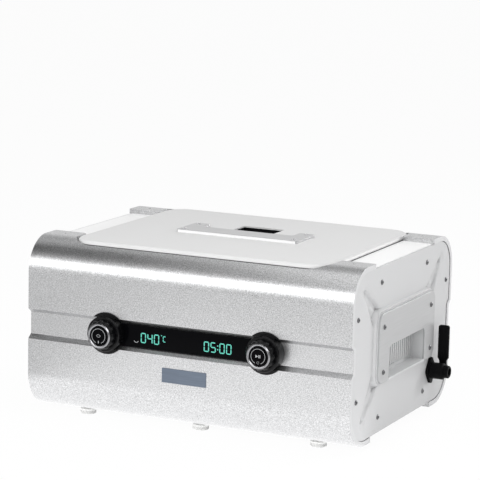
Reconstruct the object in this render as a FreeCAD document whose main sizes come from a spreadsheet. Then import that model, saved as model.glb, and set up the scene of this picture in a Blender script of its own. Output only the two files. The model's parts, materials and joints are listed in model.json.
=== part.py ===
"""Bench-top ultrasonic cleaner with a lift-off lid, two knobs, a drain valve and hand cups.

The case is two mirrored extruded shells, front and rear, closed by pressed side panels. A deck carries
the deep-drawn tank, and the drive, heating and control pieces hang from the tank, the base and the shells.
Frame: X to the right, Y to the back, Z up. The origin is the middle of the footprint box, on the bench.
"""

import FreeCAD, Part
import math
import os
import re
import Sketcher
from FreeCAD import Placement, Rotation, Vector

SIZES = {
    # case
    "width": 460, "depth": 350, "shell_height": 230, "foot_height": 8, "shell_wall": 6.5, "round_top": 45.5,
    "round_bottom": 50.5, "flange_top": 71, "flange_bottom": 70, "band_middle": 123.8, "band_height": 29.3,
    "band_slope": 5.4, "band_depth": 7, "band_shift": 2, "foot_radius": 10.5, "foot_inset_x": 63,
    "foot_inset_y": 52, "foot_break": 1, "base_sheet": 2, "vent_count": 9, "vent_pitch": 12, "vent_width": 4,
    "vent_length": 70, "vent_y": 0,
    # side panels
    "panel_recess": 1, "panel_sheet": 2, "panel_gap": 0.5, "boss_rise": 3, "boss_margin": 5,
    "boss_radius": 18, "boss_draft": 30, "flute_start": 9, "flute_end_inset": 42, "flute_end_high": 207,
    "flute_end_low": 39, "flute_wide": 15, "flute_narrow": 9, "flute_depth": 1.2, "flute_draft": 72,
    "side_screw_inset": 20, "side_screw_high": 175, "side_screw_low": 70.5, "top_screw_y": 80,
    "top_screw_drop": 21, "low_screw_rise": 21,
    # hand cups and their plates
    "grip_half": 98, "grip_low": 81, "grip_high": 172, "grip_radius": 13, "grip_sheet": 2.5,
    "grip_window_half": 63.5, "grip_window_high": 126, "grip_window_radius": 8, "grip_lip": 3,
    "grip_screw_y": 83, "grip_screw_high": 154, "grip_screw_low": 95.5, "cup_depth": 18, "cup_wall": 1.5,
    "cup_flange": 1.5, "slot_pitch": 7.3, "slot_width": 2.8, "slot_height": 34, "slot_count": 17,
    # deck and tank
    "deck_sheet": 2, "tongue_corner": 6, "tank_width": 300, "tank_depth": 240, "tank_height": 149,
    "tank_sheet": 1, "tank_corner": 32, "tank_floor_round": 10, "tank_flange": 14, "seal_height": 1.5,
    "seal_width": 8, "seal_inset": 2,
    # lid
    "lid_width": 366, "lid_depth": 302, "lid_height": 6.5, "lid_corner": 32, "lid_edge": 5.5, "lid_skin": 2,
    "lid_gap": 1.5, "liner_sheet": 1, "liner_drop": 8, "liner_gap": 2.5, "recess_half": 30,
    "recess_front": -12, "recess_back": 62.5, "recess_deep": 20, "recess_corner": 3, "handle_half": 88,
    "handle_depth": 60, "handle_rise": 4, "handle_sheet": 1.8, "handle_strip": 36, "handle_tab": 22,
    "handle_screw_inset": 8, "handle_corner": 3, "handle_bay": 4, "nut_reach": 3,
    # basket
    "basket_gap": 9, "basket_height": 106, "basket_foot": 6, "basket_wire": 2, "basket_slot": 6,
    "basket_pitch": 24, "basket_slots": 6, "basket_grip": 7, "grip_span": 45,
    # front controls
    "knob_x": 113, "bezel_radius": 27.5, "bezel_rise": 1.5, "collar_radius": 23.5, "collar_height": 17,
    "ring_radius": 19.5, "ring_height": 10.2, "ring_gap": 0.3, "lobe_count": 12, "lobe_radius": 2.4,
    "rim_low": 1, "rim_chamfer": 2.6, "rim_inset": 2.2, "collar_break": 1.2, "sleeve_radius": 14,
    "sleeve_wall": 1.1, "sleeve_height": 9.4, "running_gap": 0.05, "cap_gap": 0.3, "cap_front": 28.9,
    "cap_body": 9, "cap_round": 0.8, "stem_radius": 2, "stem_reach": 3, "chrome_width": 3.2,
    "chrome_height": 1.3, "encoder_half": 12, "encoder_depth": 10, "encoder_neck": 4.5, "encoder_bore": 7,
    "window_half": 89, "window_sheet": 2.5, "display_half": 68, "display_high": 9, "board_depth": 8,
    "board_side": 6, "board_edge": 3, "badge_half": 31.5, "badge_low": 69, "badge_high": 88,
    "badge_sheet": 0.8,
    # drain
    "valve_y": 103, "valve_z": 60, "pipe_radius": 7, "pipe_bore": 5.5, "pipe_x": 128, "pipe_bend": 16,
    "valve_flange": 4, "valve_ear": 5, "ear_radius": 7, "valve_tip": 1, "tip_radius": 5, "spigot_gap": 0.3,
    "valve_break": 1.5, "nozzle_break": 1, "boss_wall": 3.5, "valve_radius": 11, "valve_length": 18,
    "nozzle_radius": 8.5, "nozzle_length": 7, "spigot_reach": 2, "ball_at": 13, "ball_radius": 8,
    "ball_gap": 0.3, "ball_bore": 4.5, "valve_stem": 3, "boss_stand": 2, "lever_gap": 0.3, "lever_sheet": 4.5,
    "lever_width": 15, "lever_length": 60, "lever_hub": 8, "lever_arm": 10, "lever_neck": 15,
    "lever_corner": 3, "lever_break": 0.8,
    # drive and power
    "stack_x": 85, "stack_y": 55, "stack_radius": 22, "stack_neck": 17.5, "front_mass": 22, "horn_face": 5,
    "ceramic": 10, "bolt_radius": 5, "bolt_head": 5, "back_mass": 18, "heater_half": 100, "heater_low": 105,
    "heater_high": 170, "heater_sheet": 2, "heater_corner": 6, "board_outset": 30, "board_inset": 12,
    "supply_half": 60, "supply_height": 55, "board_front": -95, "board_back": 55, "board_sheet": 4,
    "sink_inset": 15, "sink_height": 38, "fin_pitch": 8, "fin_gap": 5, "fin_foot": 6, "fin_count": 14,
    "fan_x": -100, "fan_z": 169, "fan_size": 40, "fan_depth": 15, "fan_radius": 18.5, "fan_hub": 8.5,
    "fan_corner": 3, "fan_inset": 1.5, "fan_gap": 0.5, "spoke_half": 1, "spoke_sheet": 2, "spoke_count": 3,
    "blade_count": 7, "blade_sheet": 1.2, "blade_rise": 4.5, "blade_root": 3, "blade_tip": 4.2,
    "blade_gap": 0.6, "grille_slot": 3, "grille_pitch": 5.2, "grille_count": 7, "grille_margin": 4,
    "power_x": 120, "power_z": 80, "inlet_half": 24, "inlet_high": 14, "inlet_flange": 2.5, "inlet_deep": 22,
    "socket_half": 12, "socket_high": 8, "socket_deep": 16, "inlet_lip": 3, "socket_corner": 2.5, "pin_x": 7,
    "pin_drop": 4, "pin_radius": 1.6, "pin_short": 4, "switch_x": 68, "switch_half": 6.5, "switch_high": 9.5,
    "switch_frame": 2, "switch_depth": 14, "switch_lip": 1, "switch_bezel": 1.5, "rocker_gap": 0.4,
    "rocker_pin": 1, "rocker_pin_length": 1.6, "rocker_end": 1, "rocker_foot": 6, "rocker_waist": 6,
    "rocker_deep": 8.5, "rocker_low": 0.6, "rocker_crest": 0.4, "rocker_high": 2.4, "fuse_x": 38,
    "fuse_radius": 7.5, "fuse_depth": 24, "fuse_lip": 2, "fuse_slot": 1.2,
    # fasteners
    "screw_shank": 1.9, "screw_head": 3.4, "screw_rise": 1.6, "screw_length": 7, "screw_gap": 0.1,
    "shell_screw_inset_x": 24, "shell_screw_inset_y": 55, "bracket_size": 13, "bracket_depth": 12,
}

# ---- named places, worked out from the sizes
TOP = "(foot_height + shell_height)"
DECK_TOP = f"({TOP} - shell_wall)"
INNER_BASE = "(foot_height + shell_wall)"
BASE_TOP = f"({INNER_BASE} + base_sheet)"
BAND_FLOOR = "(depth / 2 - band_depth)"
PANEL_FACE = "(width / 2 - panel_recess)"
PANEL_BACK = "(width / 2 - panel_recess - panel_sheet)"
BOSS_FACE = "(boss_rise - panel_recess)"
GRIP_BACK = f"({BOSS_FACE} + cup_flange)"
GRIP_FACE = f"({GRIP_BACK} + grip_sheet)"
CUP_BACK = f"({GRIP_FACE} - cup_depth - cup_wall)"
TANK_TOP = f"({DECK_TOP} + tank_sheet)"
TANK_FLOOR = f"({TANK_TOP} - tank_height)"
LID_TOP = f"({DECK_TOP} + lid_height)"
LID_UNDER = f"({LID_TOP} - lid_skin)"
NOZZLE_END = "(valve_flange - panel_recess + valve_length + nozzle_length)"
RING_BASE = "(collar_height + ring_gap)"
RING_TOP = f"({RING_BASE} + ring_height)"
PLATE_REACH = f"(width / 2 + {GRIP_FACE} + screw_rise)"
NOZZLE_REACH = f"(width / 2 + {NOZZLE_END})"
KNOB_REACH = f"({BAND_FLOOR} + cap_front)"
REAR_REACH = "(depth / 2 + inlet_flange)"
FOOT_X = "(width / 2 - foot_inset_x)"
FOOT_Y = "(depth / 2 - foot_inset_y)"
SHELL_SCREW_X = "(width / 2 - shell_screw_inset_x)"
SHELL_SCREW_Y = "(depth / 2 - shell_screw_inset_y)"
SIDE_SCREW_Y = "(depth / 2 - side_screw_inset)"
BOSS_REACH = "(valve_radius + boss_stand)"
MIDDLE_X = f"(({NOZZLE_REACH} - {PLATE_REACH}) / 2)"
MIDDLE_Y = f"(({REAR_REACH} - {KNOB_REACH}) / 2)"

RIGHT_OUT = Rotation(Vector(1, 1, 1), 120)
LEFT_OUT = Rotation(Vector(0, 0, 1), 180) * RIGHT_OUT
FRONT_OUT = Rotation(Vector(1, 0, 0), 90)
REAR_OUT = Rotation(Vector(0, 0, 1), 180) * FRONT_OUT

AXIS = [("0", "0")]
doc = FreeCAD.newDocument("UltrasonicCleaner")
sheet = doc.addObject("Spreadsheet::Sheet", "Sizes")
for row, (alias, size) in enumerate(SIZES.items(), 1):
    sheet.set(f"A{row}", alias)
    sheet.set(f"B{row}", str(size))
    sheet.setAlias(f"B{row}", alias)
doc.recompute()
PIECES = []


# ---- small kit: expressions, sketches and features
def bound(text):
    """The expression with every size read from the sheet."""
    return re.sub(r"[a-z][a-z_]+", lambda w: "Sizes." + w.group() if w.group() in SIZES else w.group(),
                  str(text))


def number(text):
    """The expression's present value."""
    return float(sheet.evalExpression(str(text)))


def add_body(label, x="0", y="0", z="0", turn=None, group=False):
    """A body that becomes the node called label, placed at x, y, z from the case's middle on the bench."""
    body = doc.addObject("PartDesign::Body", label)
    body.AllowCompound = group
    if turn:
        body.Placement = Placement(Vector(), turn)
    for axis, place in zip("xyz", (f"{x} - {MIDDLE_X}", f"{y} - {MIDDLE_Y}", z)):
        body.setExpression("Placement.Base." + axis, bound(place))
    PIECES.append(body)
    return body


def sketch_on(body, role, level="0", at=None, turn="0"):
    """A sketch on one of the body's own planes, lifted along its normal, then moved and turned in the plane."""
    sketch = body.newObject("Sketcher::SketchObject", "Sketch")
    plane = next(f for f in body.Origin.OriginFeatures if f.Role == role)
    sketch.AttachmentSupport = [(plane, "")]
    sketch.MapMode = "FlatFace"
    sketch.setExpression("AttachmentOffset.Base.z", bound(level))
    if at:
        sketch.setExpression("AttachmentOffset.Base.x", bound(at[0]))
        sketch.setExpression("AttachmentOffset.Base.y", bound(at[1]))
        sketch.setExpression("AttachmentOffset.Rotation.Angle", bound(turn))
    return sketch


def hold(sketch, kind, *places, size):
    """Add a dimension that follows the sheet."""
    index = sketch.addConstraint(Sketcher.Constraint(kind, *places, number(size)))
    sketch.setExpression(f"Constraints[{index}]", bound(size))


def corner_arc(before, corner, after, radius):
    """Where a rounded corner starts and ends, its arc, and the arc's end that the outline meets first."""
    back = (before - corner).normalize()
    ahead = (after - corner).normalize()
    half_angle = back.getAngle(ahead) / 2
    start = corner + back * (radius / math.tan(half_angle))
    end = corner + ahead * (radius / math.tan(half_angle))
    centre = corner + (back + ahead).normalize() * (radius / math.sin(half_angle))
    left_turn = ahead.cross(back).z > 0
    low, high = (start, end) if left_turn else (end, start)
    angles = [math.atan2(p.y - centre.y, p.x - centre.x) for p in (low, high)]
    arc = Part.ArcOfCircle(Part.Circle(centre, Vector(0, 0, 1), radius), *angles)
    return start, end, arc, 1 if left_turn else 2


def draw(sketch, corners, closed=True):
    """A fully held outline through corners given as (x, y, radius), where a radius of None is sharp."""
    count = len(corners)
    points = [Vector(number(x), number(y), 0) for x, y, _ in corners]
    marks = []
    for point, (x, y, _) in zip(points, corners):
        mark = sketch.addGeometry(Part.Point(point), True)
        hold(sketch, "DistanceX", -1, 1, mark, 1, size=x)
        hold(sketch, "DistanceY", -1, 1, mark, 1, size=y)
        marks.append(mark)
    trims = []
    for i, (_, _, radius) in enumerate(corners):
        rounded = radius is not None and (closed or 0 < i < count - 1)
        if rounded:
            trims.append(corner_arc(points[i - 1], points[i], points[(i + 1) % count], number(radius)))
        else:
            trims.append((points[i], points[i], None, 1))
    runs = count if closed else count - 1
    lines = [sketch.addGeometry(Part.LineSegment(trims[i][1], trims[(i + 1) % count][0]),
                                False) for i in range(runs)]
    for i, (_, _, arc, first) in enumerate(trims):
        before = lines[i - 1] if closed or i else None
        after = lines[i] if i < runs else None
        if arc is None:
            if before is not None:
                sketch.addConstraint(Sketcher.Constraint("Coincident", before, 2, marks[i], 1))
            if after is not None:
                sketch.addConstraint(Sketcher.Constraint("Coincident", after, 1, marks[i], 1))
            continue
        bend = sketch.addGeometry(arc, False)
        sketch.addConstraint(Sketcher.Constraint("PointOnObject", marks[i], 1, before))
        sketch.addConstraint(Sketcher.Constraint("PointOnObject", marks[i], 1, after))
        sketch.addConstraint(Sketcher.Constraint("Tangent", before, 2, bend, first))
        sketch.addConstraint(Sketcher.Constraint("Tangent", after, 1, bend, 3 - first))
        hold(sketch, "Radius", bend, size=corners[i][2])


def circle(sketch, x, y, radius):
    """A held circle."""
    ring = sketch.addGeometry(Part.Circle(Vector(number(x), number(y), 0), Vector(0, 0, 1), number(radius)),
                              False)
    hold(sketch, "DistanceX", -1, 1, ring, 3, size=x)
    hold(sketch, "DistanceY", -1, 1, ring, 3, size=y)
    hold(sketch, "Radius", ring, size=radius)


def rectangle(left, right, low, high, radius=None):
    """The corners of a rectangle."""
    return [(left, low, radius), (right, low, radius), (right, high, radius), (left, high, radius)]


def centred(half_x, half_y, radius=None):
    """The corners of a rectangle about the origin."""
    return rectangle(f"-({half_x})", half_x, f"-({half_y})", half_y, radius)


def feature(body, kind, sketch, length=None, **settings):
    """A sketch-based feature whose length follows the sheet."""
    made = body.newObject("PartDesign::" + kind, kind)
    made.Profile = sketch
    if length is not None:
        made.setExpression("Length", bound(length))
    for name, setting in settings.items():
        setattr(made, name, setting)
    body.Tip = made
    return made


def slab(body, corners, low, thickness, role="XY_Plane", **settings):
    """Pad an outline from a level."""
    sketch = sketch_on(body, role, low)
    draw(sketch, corners)
    return feature(body, "Pad", sketch, thickness, **settings)


def window(body, corners, level, depth, role="XY_Plane", **settings):
    """Cut an outline back from a level."""
    sketch = sketch_on(body, role, level)
    draw(sketch, corners)
    return feature(body, "Pocket", sketch, depth, **settings)


def rods(body, places, radius, low, length, role="XY_Plane", **settings):
    """Pad circles from a level."""
    sketch = sketch_on(body, role, low)
    for x, y in places:
        circle(sketch, x, y, radius)
    return feature(body, "Pad", sketch, length, **settings)


def holes(body, places, radius, level, depth, role="XY_Plane", **settings):
    """Cut circles back from a level."""
    sketch = sketch_on(body, role, level)
    for x, y in places:
        circle(sketch, x, y, radius)
    return feature(body, "Pocket", sketch, depth, **settings)


def turned(body, corners):
    """Turn a profile of (radius, height) corners about the body's own Z axis."""
    sketch = sketch_on(body, "XZ_Plane")
    draw(sketch, corners)
    return feature(body, "Revolution", sketch, ReferenceAxis=(sketch, ["V_Axis"]), Angle=360)


def around(body, original, count):
    """Repeat a feature around the body's own Z axis."""
    pattern = body.newObject("PartDesign::PolarPattern", "PolarPattern")
    pattern.Originals = [original]
    pattern.Axis = (original.Profile[0], ["N_Axis"])
    pattern.Angle = 360
    pattern.setExpression("Occurrences", bound(count))
    body.Tip = pattern


def along(body, original, axis, pitch, count):
    """Repeat a feature in a row along one axis of its sketch."""
    pattern = body.newObject("PartDesign::LinearPattern", "LinearPattern")
    pattern.Originals = [original]
    pattern.Direction = (original.Profile[0], [axis])
    pattern.setExpression("Length", bound(f"({pitch}) * ({count} - 1)"))
    pattern.setExpression("Occurrences", bound(count))
    body.Tip = pattern


def flat_face(made, direction, level):
    """The name of the largest flat face square to a direction at a level along it."""
    doc.recompute()
    faces = [(face.Area, i) for i, face in enumerate(made.Shape.Faces, 1)
             if face.Surface.TypeId == "Part::GeomPlane" and abs(face.normalAt(0, 0).dot(direction)) > 0.999
             and abs(face.CenterOfMass.dot(direction) - level) < 1e-3]
    return f"Face{max(faces)[1]}"


def dress(body, made, face, size, kind):
    """Chamfer or fillet every edge of one face."""
    dressed = body.newObject("PartDesign::" + kind, kind)
    dressed.Base = (made, [face])
    dressed.setExpression("Size" if kind == "Chamfer" else "Radius", bound(size))
    body.Tip = dressed
    return dressed


def edge_break(body, made, direction, size, kind="Chamfer"):
    """Chamfer or fillet every edge of the flat face that lies furthest along a direction."""
    doc.recompute()
    level = max(vertex.Point.dot(direction) for vertex in made.Shape.Vertexes)
    return dress(body, made, flat_face(made, direction, level), size, kind)


def round_face(body, made, level, radius):
    """Fillet every edge of the level face at a height."""
    return dress(body, made, flat_face(made, Vector(0, 0, 1), number(level)), radius, "Fillet")


def mirrored_places(x, y):
    """Four places, one in each quarter."""
    return [(f"{i}*({x})", f"{j}*({y})") for i in (-1, 1) for j in (-1, 1)]


# ---- case
def shell_section(side):
    """The shell's closed section in Y and Z: a C that opens to the case's middle."""
    def across(inset):
        return f"{side} * (depth / 2 - ({inset}))"

    def band(sign, extra):
        return f"band_middle + {sign} * (band_height / 2 + {extra})"

    outer = [
        (across("flange_top"), TOP, None),
        (across("0"), TOP, "round_top"),
        (across("0"), band(1, "band_slope"), None),
        (across("band_depth"), band(1, "0"), None),
        (across("band_depth"), band(-1, "0"), None),
        (across("0"), band(-1, "band_slope"), None),
        (across("0"), "foot_height", "round_bottom"),
        (across("flange_bottom"), "foot_height", None),
    ]
    inner = [
        (across("flange_bottom"), INNER_BASE, None),
        (across("shell_wall"), INNER_BASE, "round_bottom - shell_wall"),
        (across("shell_wall"), band(-1, "band_slope + band_shift"), None),
        (across("band_depth + shell_wall"), band(-1, "band_shift"), None),
        (across("band_depth + shell_wall"), band(1, "band_shift"), None),
        (across("shell_wall"), band(1, "band_slope + band_shift"), None),
        (across("shell_wall"), DECK_TOP, "round_top - shell_wall"),
        (across("flange_top"), DECK_TOP, None),
    ]
    return outer + inner


def add_shell(label, side):
    """One extruded shell, cut out at the top for the lid and drilled for the flange screws."""
    body = add_body(label)
    slab(body, shell_section(side), "0", "width", "YZ_Plane", Midplane=True)
    lid_edge = f"{side} * (lid_depth / 2 + lid_gap)"
    flange_end = f"{side} * (depth / 2 - flange_top - 1)"
    half = "lid_width / 2 + lid_gap"
    cut = [
        (f"-({half})", flange_end, None), (f"-({half})", lid_edge, "lid_corner"),
        (half, lid_edge, "lid_corner"), (half, flange_end, None),
    ]
    window(body, cut, TOP, "round_top / 2")
    places = [(f"{i} * {SHELL_SCREW_X}", f"{side} * {SHELL_SCREW_Y}") for i in (-1, 1)]
    holes(body, places, "screw_shank + screw_gap", TOP, "shell_wall + 1")
    holes(body, places, "screw_head + screw_gap", TOP, "screw_rise")
    return body


def add_front_shell():
    """Front shell with the seats of the knobs and the display's opening."""
    body = add_shell("front_shell", -1)
    knobs = [(f"{i} * knob_x", "band_middle") for i in (-1, 1)]
    holes(body, knobs, "collar_radius + ring_gap", "depth / 2 + 1", "band_depth + 1", "XZ_Plane")
    through = "band_depth + shell_wall + 2"
    holes(body, knobs, "encoder_neck + screw_gap", "depth / 2 + 1", through, "XZ_Plane")
    opening = rectangle("-(display_half + 1)", "display_half + 1", "band_middle - display_high - 1",
                        "band_middle + display_high + 1")
    window(body, opening, "depth / 2 + 1", through, "XZ_Plane")


def add_rear_shell():
    """Rear shell with the fan grille and the openings of the mains pieces."""
    body = add_shell("rear_shell", 1)
    back = "-(depth / 2 + 1)"
    deep = "shell_wall + 2"
    first = "(fan_x - grille_pitch * (grille_count - 1) / 2)"
    reach = "(fan_size / 2 - grille_margin)"
    slot = rectangle(f"{first} - grille_slot / 2", f"{first} + grille_slot / 2", f"fan_z - {reach}",
                     f"fan_z + {reach}")
    cut = window(body, slot, back, deep, "XZ_Plane", Reversed=True)
    along(body, cut, "H_Axis", "grille_pitch", "grille_count")
    inlet = rectangle("power_x - inlet_half", "power_x + inlet_half", "power_z - inlet_high",
                      "power_z + inlet_high")
    window(body, inlet, back, deep, "XZ_Plane", Reversed=True)
    half, high = "(switch_half + switch_frame)", "(switch_high + switch_frame)"
    switch = rectangle(f"switch_x - {half}", f"switch_x + {half}", f"power_z - {high}", f"power_z + {high}")
    window(body, switch, back, deep, "XZ_Plane", Reversed=True)
    holes(body, [("fuse_x", "power_z")], "fuse_radius", back, deep, "XZ_Plane", Reversed=True)


def side_body(label, group=False):
    """A body in the frame of one side: X runs along the case, Y up and Z straight out from the shells' ends."""
    right = label.startswith("right")
    return add_body(label, "width / 2" if right else "-width / 2", turn=RIGHT_OUT if right else LEFT_OUT,
                    group=group)


SIDE_SCREWS = (
    [(f"{i} * {SIDE_SCREW_Y}", z) for i in (-1, 1) for z in ("side_screw_high", "side_screw_low")]
    + [(f"{i} * top_screw_y", z) for i in (-1, 1)
       for z in (f"{DECK_TOP} - top_screw_drop", f"{INNER_BASE} + low_screw_rise")]
)
GRIP_SCREWS = [(f"{i} * grip_screw_y", z) for i in (-1, 1) for z in ("grip_screw_high", "grip_screw_low")]


def panel_outline():
    """The side panel's outline, a running gap inside the two shells."""
    edge = "depth / 2 - shell_wall - panel_gap"
    low = f"{INNER_BASE} + panel_gap"
    high = f"{DECK_TOP} - panel_gap"
    bottom_round = "round_bottom - shell_wall - panel_gap"
    top_round = "round_top - shell_wall - panel_gap"
    steps = [("-1", "band_slope + band_shift", "0"), ("-1", "band_shift", "band_depth"),
             ("1", "band_shift", "band_depth"), ("1", "band_slope + band_shift", "0")]

    def jog(side, order):
        return [
            (f"{side} * ({edge} - {inset})", f"band_middle + {sign} * (band_height / 2 + {rise} + panel_gap)",
             None)
            for sign, rise, inset in order
        ]

    return (
        [(f"-({edge})", low, bottom_round), (edge, low, bottom_round)] + jog("1", steps)
        + [(edge, high, top_round), (f"-({edge})", high, top_round)] + jog("-1", steps[::-1])
    )


def add_flute(body, side, high):
    """One pressed groove from the boss's corner towards a corner of the panel, with its bulge behind."""
    start_y = "(grip_half + boss_margin - flute_start)"
    end_y = "(depth / 2 - flute_end_inset)"
    start_z = "(grip_high + boss_margin - flute_start)" if high else "(grip_low - boss_margin + flute_start)"
    end_z = "flute_end_high" if high else "flute_end_low"
    run = f"({end_y} - {start_y})"
    climb = f"({end_z} - {start_z})"
    turn = f"{90 - 90 * side} deg + {side} * atan({climb} / {run})"
    length = f"sqrt({run} * {run} + {climb} * {climb})"
    outline = [
        ("0", "-flute_wide", "boss_margin"), (length, "-flute_narrow", "flute_narrow * 0.9"),
        (length, "flute_narrow", "flute_narrow * 0.9"), ("0", "flute_wide", "boss_margin"),
    ]
    for level, kind in (("-panel_recess", "Pocket"), ("-(panel_recess + panel_sheet)", "Pad")):
        sketch = sketch_on(body, "XY_Plane", level, (f"{side} * {start_y}", start_z), turn)
        draw(sketch, outline)
        feature(body, kind, sketch, "flute_depth", Reversed=kind == "Pad", TaperAngle=-number("flute_draft"))


def add_panel(label):
    """Pressed side panel: a sheet with grooves towards its corners and a raised boss round the hand cup."""
    body = side_body(label)
    right = label.startswith("right")
    back = "-(panel_recess + panel_sheet)"
    slab(body, panel_outline(), back, "panel_sheet")
    for side in (-1, 1):
        for high in (True, False):
            if not (right and side == 1 and not high):  # the valve's seat stays flat
                add_flute(body, side, high)
    low, high = "(grip_low - boss_margin)", "(grip_high + boss_margin)"
    half = "(grip_half + boss_margin)"
    boss = slab(body, rectangle(f"-{half}", half, low, high, "boss_radius"), "-(panel_recess + flute_depth)",
                "boss_rise + flute_depth", TaperAngle=-number("boss_draft"))
    edge_break(body, boss, Vector(0, 0, 1), "panel_sheet / 2", "Fillet")
    inset = "2 * panel_sheet"
    inner = rectangle(f"-({half} - {inset})", f"{half} - {inset}", f"{low} + {inset}", f"{high} - {inset}",
                      f"boss_radius - {inset}")
    window(body, inner, f"{back} - flute_depth", "boss_rise + flute_depth", Reversed=True)
    cup = rectangle("-(grip_window_half + cup_wall + panel_gap)", "grip_window_half + cup_wall + panel_gap",
                    "grip_low - panel_gap", "grip_window_high + cup_wall + panel_gap")
    through = "boss_rise + panel_sheet + 2"
    window(body, cup, f"{BOSS_FACE} + 1", through)
    holes(body, SIDE_SCREWS, "screw_shank + screw_gap", f"{BOSS_FACE} + 1", through)
    holes(body, GRIP_SCREWS, "screw_shank + screw_gap", f"{BOSS_FACE} + 1", through)
    if right:
        holes(body, [("valve_y", "valve_z")], "nozzle_radius", "0", "panel_recess + panel_sheet + 1")


def add_cup(label):
    """Moulded hand cup: a flange under the plate, a well with a flat floor and a slotted back for air."""
    body = side_body(label)
    slab(body, rectangle("-grip_half", "grip_half", "grip_low", "grip_high", "grip_radius"), BOSS_FACE,
         "cup_flange")
    wide = "grip_window_half + cup_wall"
    well = rectangle(f"-({wide})", wide, "grip_low", "grip_window_high + cup_wall", "cup_wall")
    slab(body, well, CUP_BACK, f"{BOSS_FACE} - {CUP_BACK}")
    slab(body, rectangle("-(grip_window_half - panel_gap)", "grip_window_half - panel_gap", "grip_low",
                         "grip_low + grip_lip"), GRIP_BACK, "grip_sheet")
    hollow = rectangle("-(grip_window_half - panel_gap)", "grip_window_half - panel_gap",
                       "grip_low + grip_lip",
                       "grip_window_high", "grip_window_radius")
    hollow[0] = hollow[0][:2] + (None,)
    hollow[1] = hollow[1][:2] + (None,)
    window(body, hollow, GRIP_FACE, "cup_depth")
    first = "-(slot_pitch * (slot_count - 1) / 2)"
    middle = "(grip_low + grip_lip + grip_window_high) / 2"
    slot = rectangle(f"{first} - slot_width / 2", f"{first} + slot_width / 2", f"{middle} - slot_height / 2",
                     f"{middle} + slot_height / 2")
    cut = window(body, slot, f"{CUP_BACK} + cup_wall + 1", "cup_wall + 2")
    along(body, cut, "H_Axis", "slot_pitch", "slot_count")
    holes(body, GRIP_SCREWS, "screw_shank + screw_gap", GRIP_FACE, "grip_sheet + cup_flange + 1")


def add_grip_plate(label):
    """Flat plate over the cup, an upturned U with broken edges."""
    body = side_body(label)
    inside = "grip_window_half"
    outline = [
        ("-grip_half", "grip_low", "grip_radius"), (f"-{inside}", "grip_low", "grip_lip"),
        (f"-{inside}", "grip_window_high", "grip_window_radius"),
        (inside, "grip_window_high", "grip_window_radius"),
        (inside, "grip_low", "grip_lip"), ("grip_half", "grip_low", "grip_radius"),
        ("grip_half", "grip_high", "grip_radius"), ("-grip_half", "grip_high", "grip_radius"),
    ]
    plate = slab(body, outline, GRIP_BACK, "grip_sheet")
    edge_break(body, plate, Vector(0, 0, 1), "grip_sheet / 4")
    holes(body, GRIP_SCREWS, "screw_shank + screw_gap", f"{GRIP_FACE} + 1", "grip_sheet + 2")


def add_screws(label, places, seat, length="screw_length"):
    """Pan-head screws standing on a seat in a side's frame."""
    body = side_body(label, group=True)
    rods(body, places, "screw_shank", f"{seat} - ({length})", length)
    rods(body, places, "screw_head", seat, "screw_rise")


def add_brackets(label):
    """Blocks behind the panel that the screws bite into, on the shells, the deck and the base."""
    body = side_body(label, group=True)
    back = "-(panel_recess + panel_sheet + bracket_depth)"
    half = "bracket_size / 2"
    shell_face = "depth / 2 - shell_wall"
    for sign in (-1, 1):
        for z in ("side_screw_high", "side_screw_low"):
            ends = sorted((f"{sign} * ({SIDE_SCREW_Y} - {half})", f"{sign} * ({shell_face})"), key=number)
            slab(body, rectangle(*ends, f"{z} - {half}", f"{z} + {half}"), back, "bracket_depth")
        y = f"{sign} * top_screw_y"
        slab(body, rectangle(f"{y} - {half}", f"{y} + {half}", f"{DECK_TOP} - top_screw_drop - {half}",
                             f"{DECK_TOP} - deck_sheet"), back, "bracket_depth")
        slab(body, rectangle(f"{y} - {half}", f"{y} + {half}", BASE_TOP,
                             f"{INNER_BASE} + low_screw_rise + {half}"), back, "bracket_depth")
    holes(body, SIDE_SCREWS, "screw_shank + screw_gap / 2", "-(panel_recess + panel_sheet) + 1",
          "bracket_depth")


def add_case():
    """Shells, panels, base, feet and their fasteners."""
    add_front_shell()
    add_rear_shell()
    for side in ("left", "right"):
        add_panel(side + "_panel")
        add_cup(side + "_grip_cup")
        add_grip_plate(side + "_grip_plate")
        add_brackets(side + "_brackets")
        add_screws(side + "_panel_screws", SIDE_SCREWS, "-panel_recess")
        add_screws(side + "_grip_screws", GRIP_SCREWS, GRIP_FACE, "screw_length + grip_sheet")
    base = add_body("base_plate")
    slab(base, centred(f"{PANEL_BACK} - panel_gap", "depth / 2 - round_bottom"), INNER_BASE, "base_sheet")
    first = "(-vent_pitch * (vent_count - 1) / 2)"
    vent = rectangle(f"{first} - vent_width / 2", f"{first} + vent_width / 2", "vent_y - vent_length / 2",
                     "vent_y + vent_length / 2", "vent_width / 2.01")
    cut = window(base, vent, f"{BASE_TOP} + 1", "base_sheet + 2")
    along(base, cut, "H_Axis", "vent_pitch", "vent_count")
    feet = add_body("feet", group=True)
    places = [(f"{i} * {FOOT_X}", f"{j} * {FOOT_Y}") for i in (-1, 0, 1) for j in (-1, 1)]
    rods(feet, places, "foot_radius", "0", "foot_height - foot_break")
    rods(feet, places, "foot_radius - foot_break", "foot_height - foot_break", "foot_break")
    screws = add_body("flange_screws", group=True)
    places = mirrored_places(SHELL_SCREW_X, SHELL_SCREW_Y)
    rods(screws, places, "screw_shank", f"{DECK_TOP} - deck_sheet", "deck_sheet + shell_wall - screw_rise")
    rods(screws, places, "screw_head", f"{TOP} - screw_rise", "screw_rise")


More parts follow.
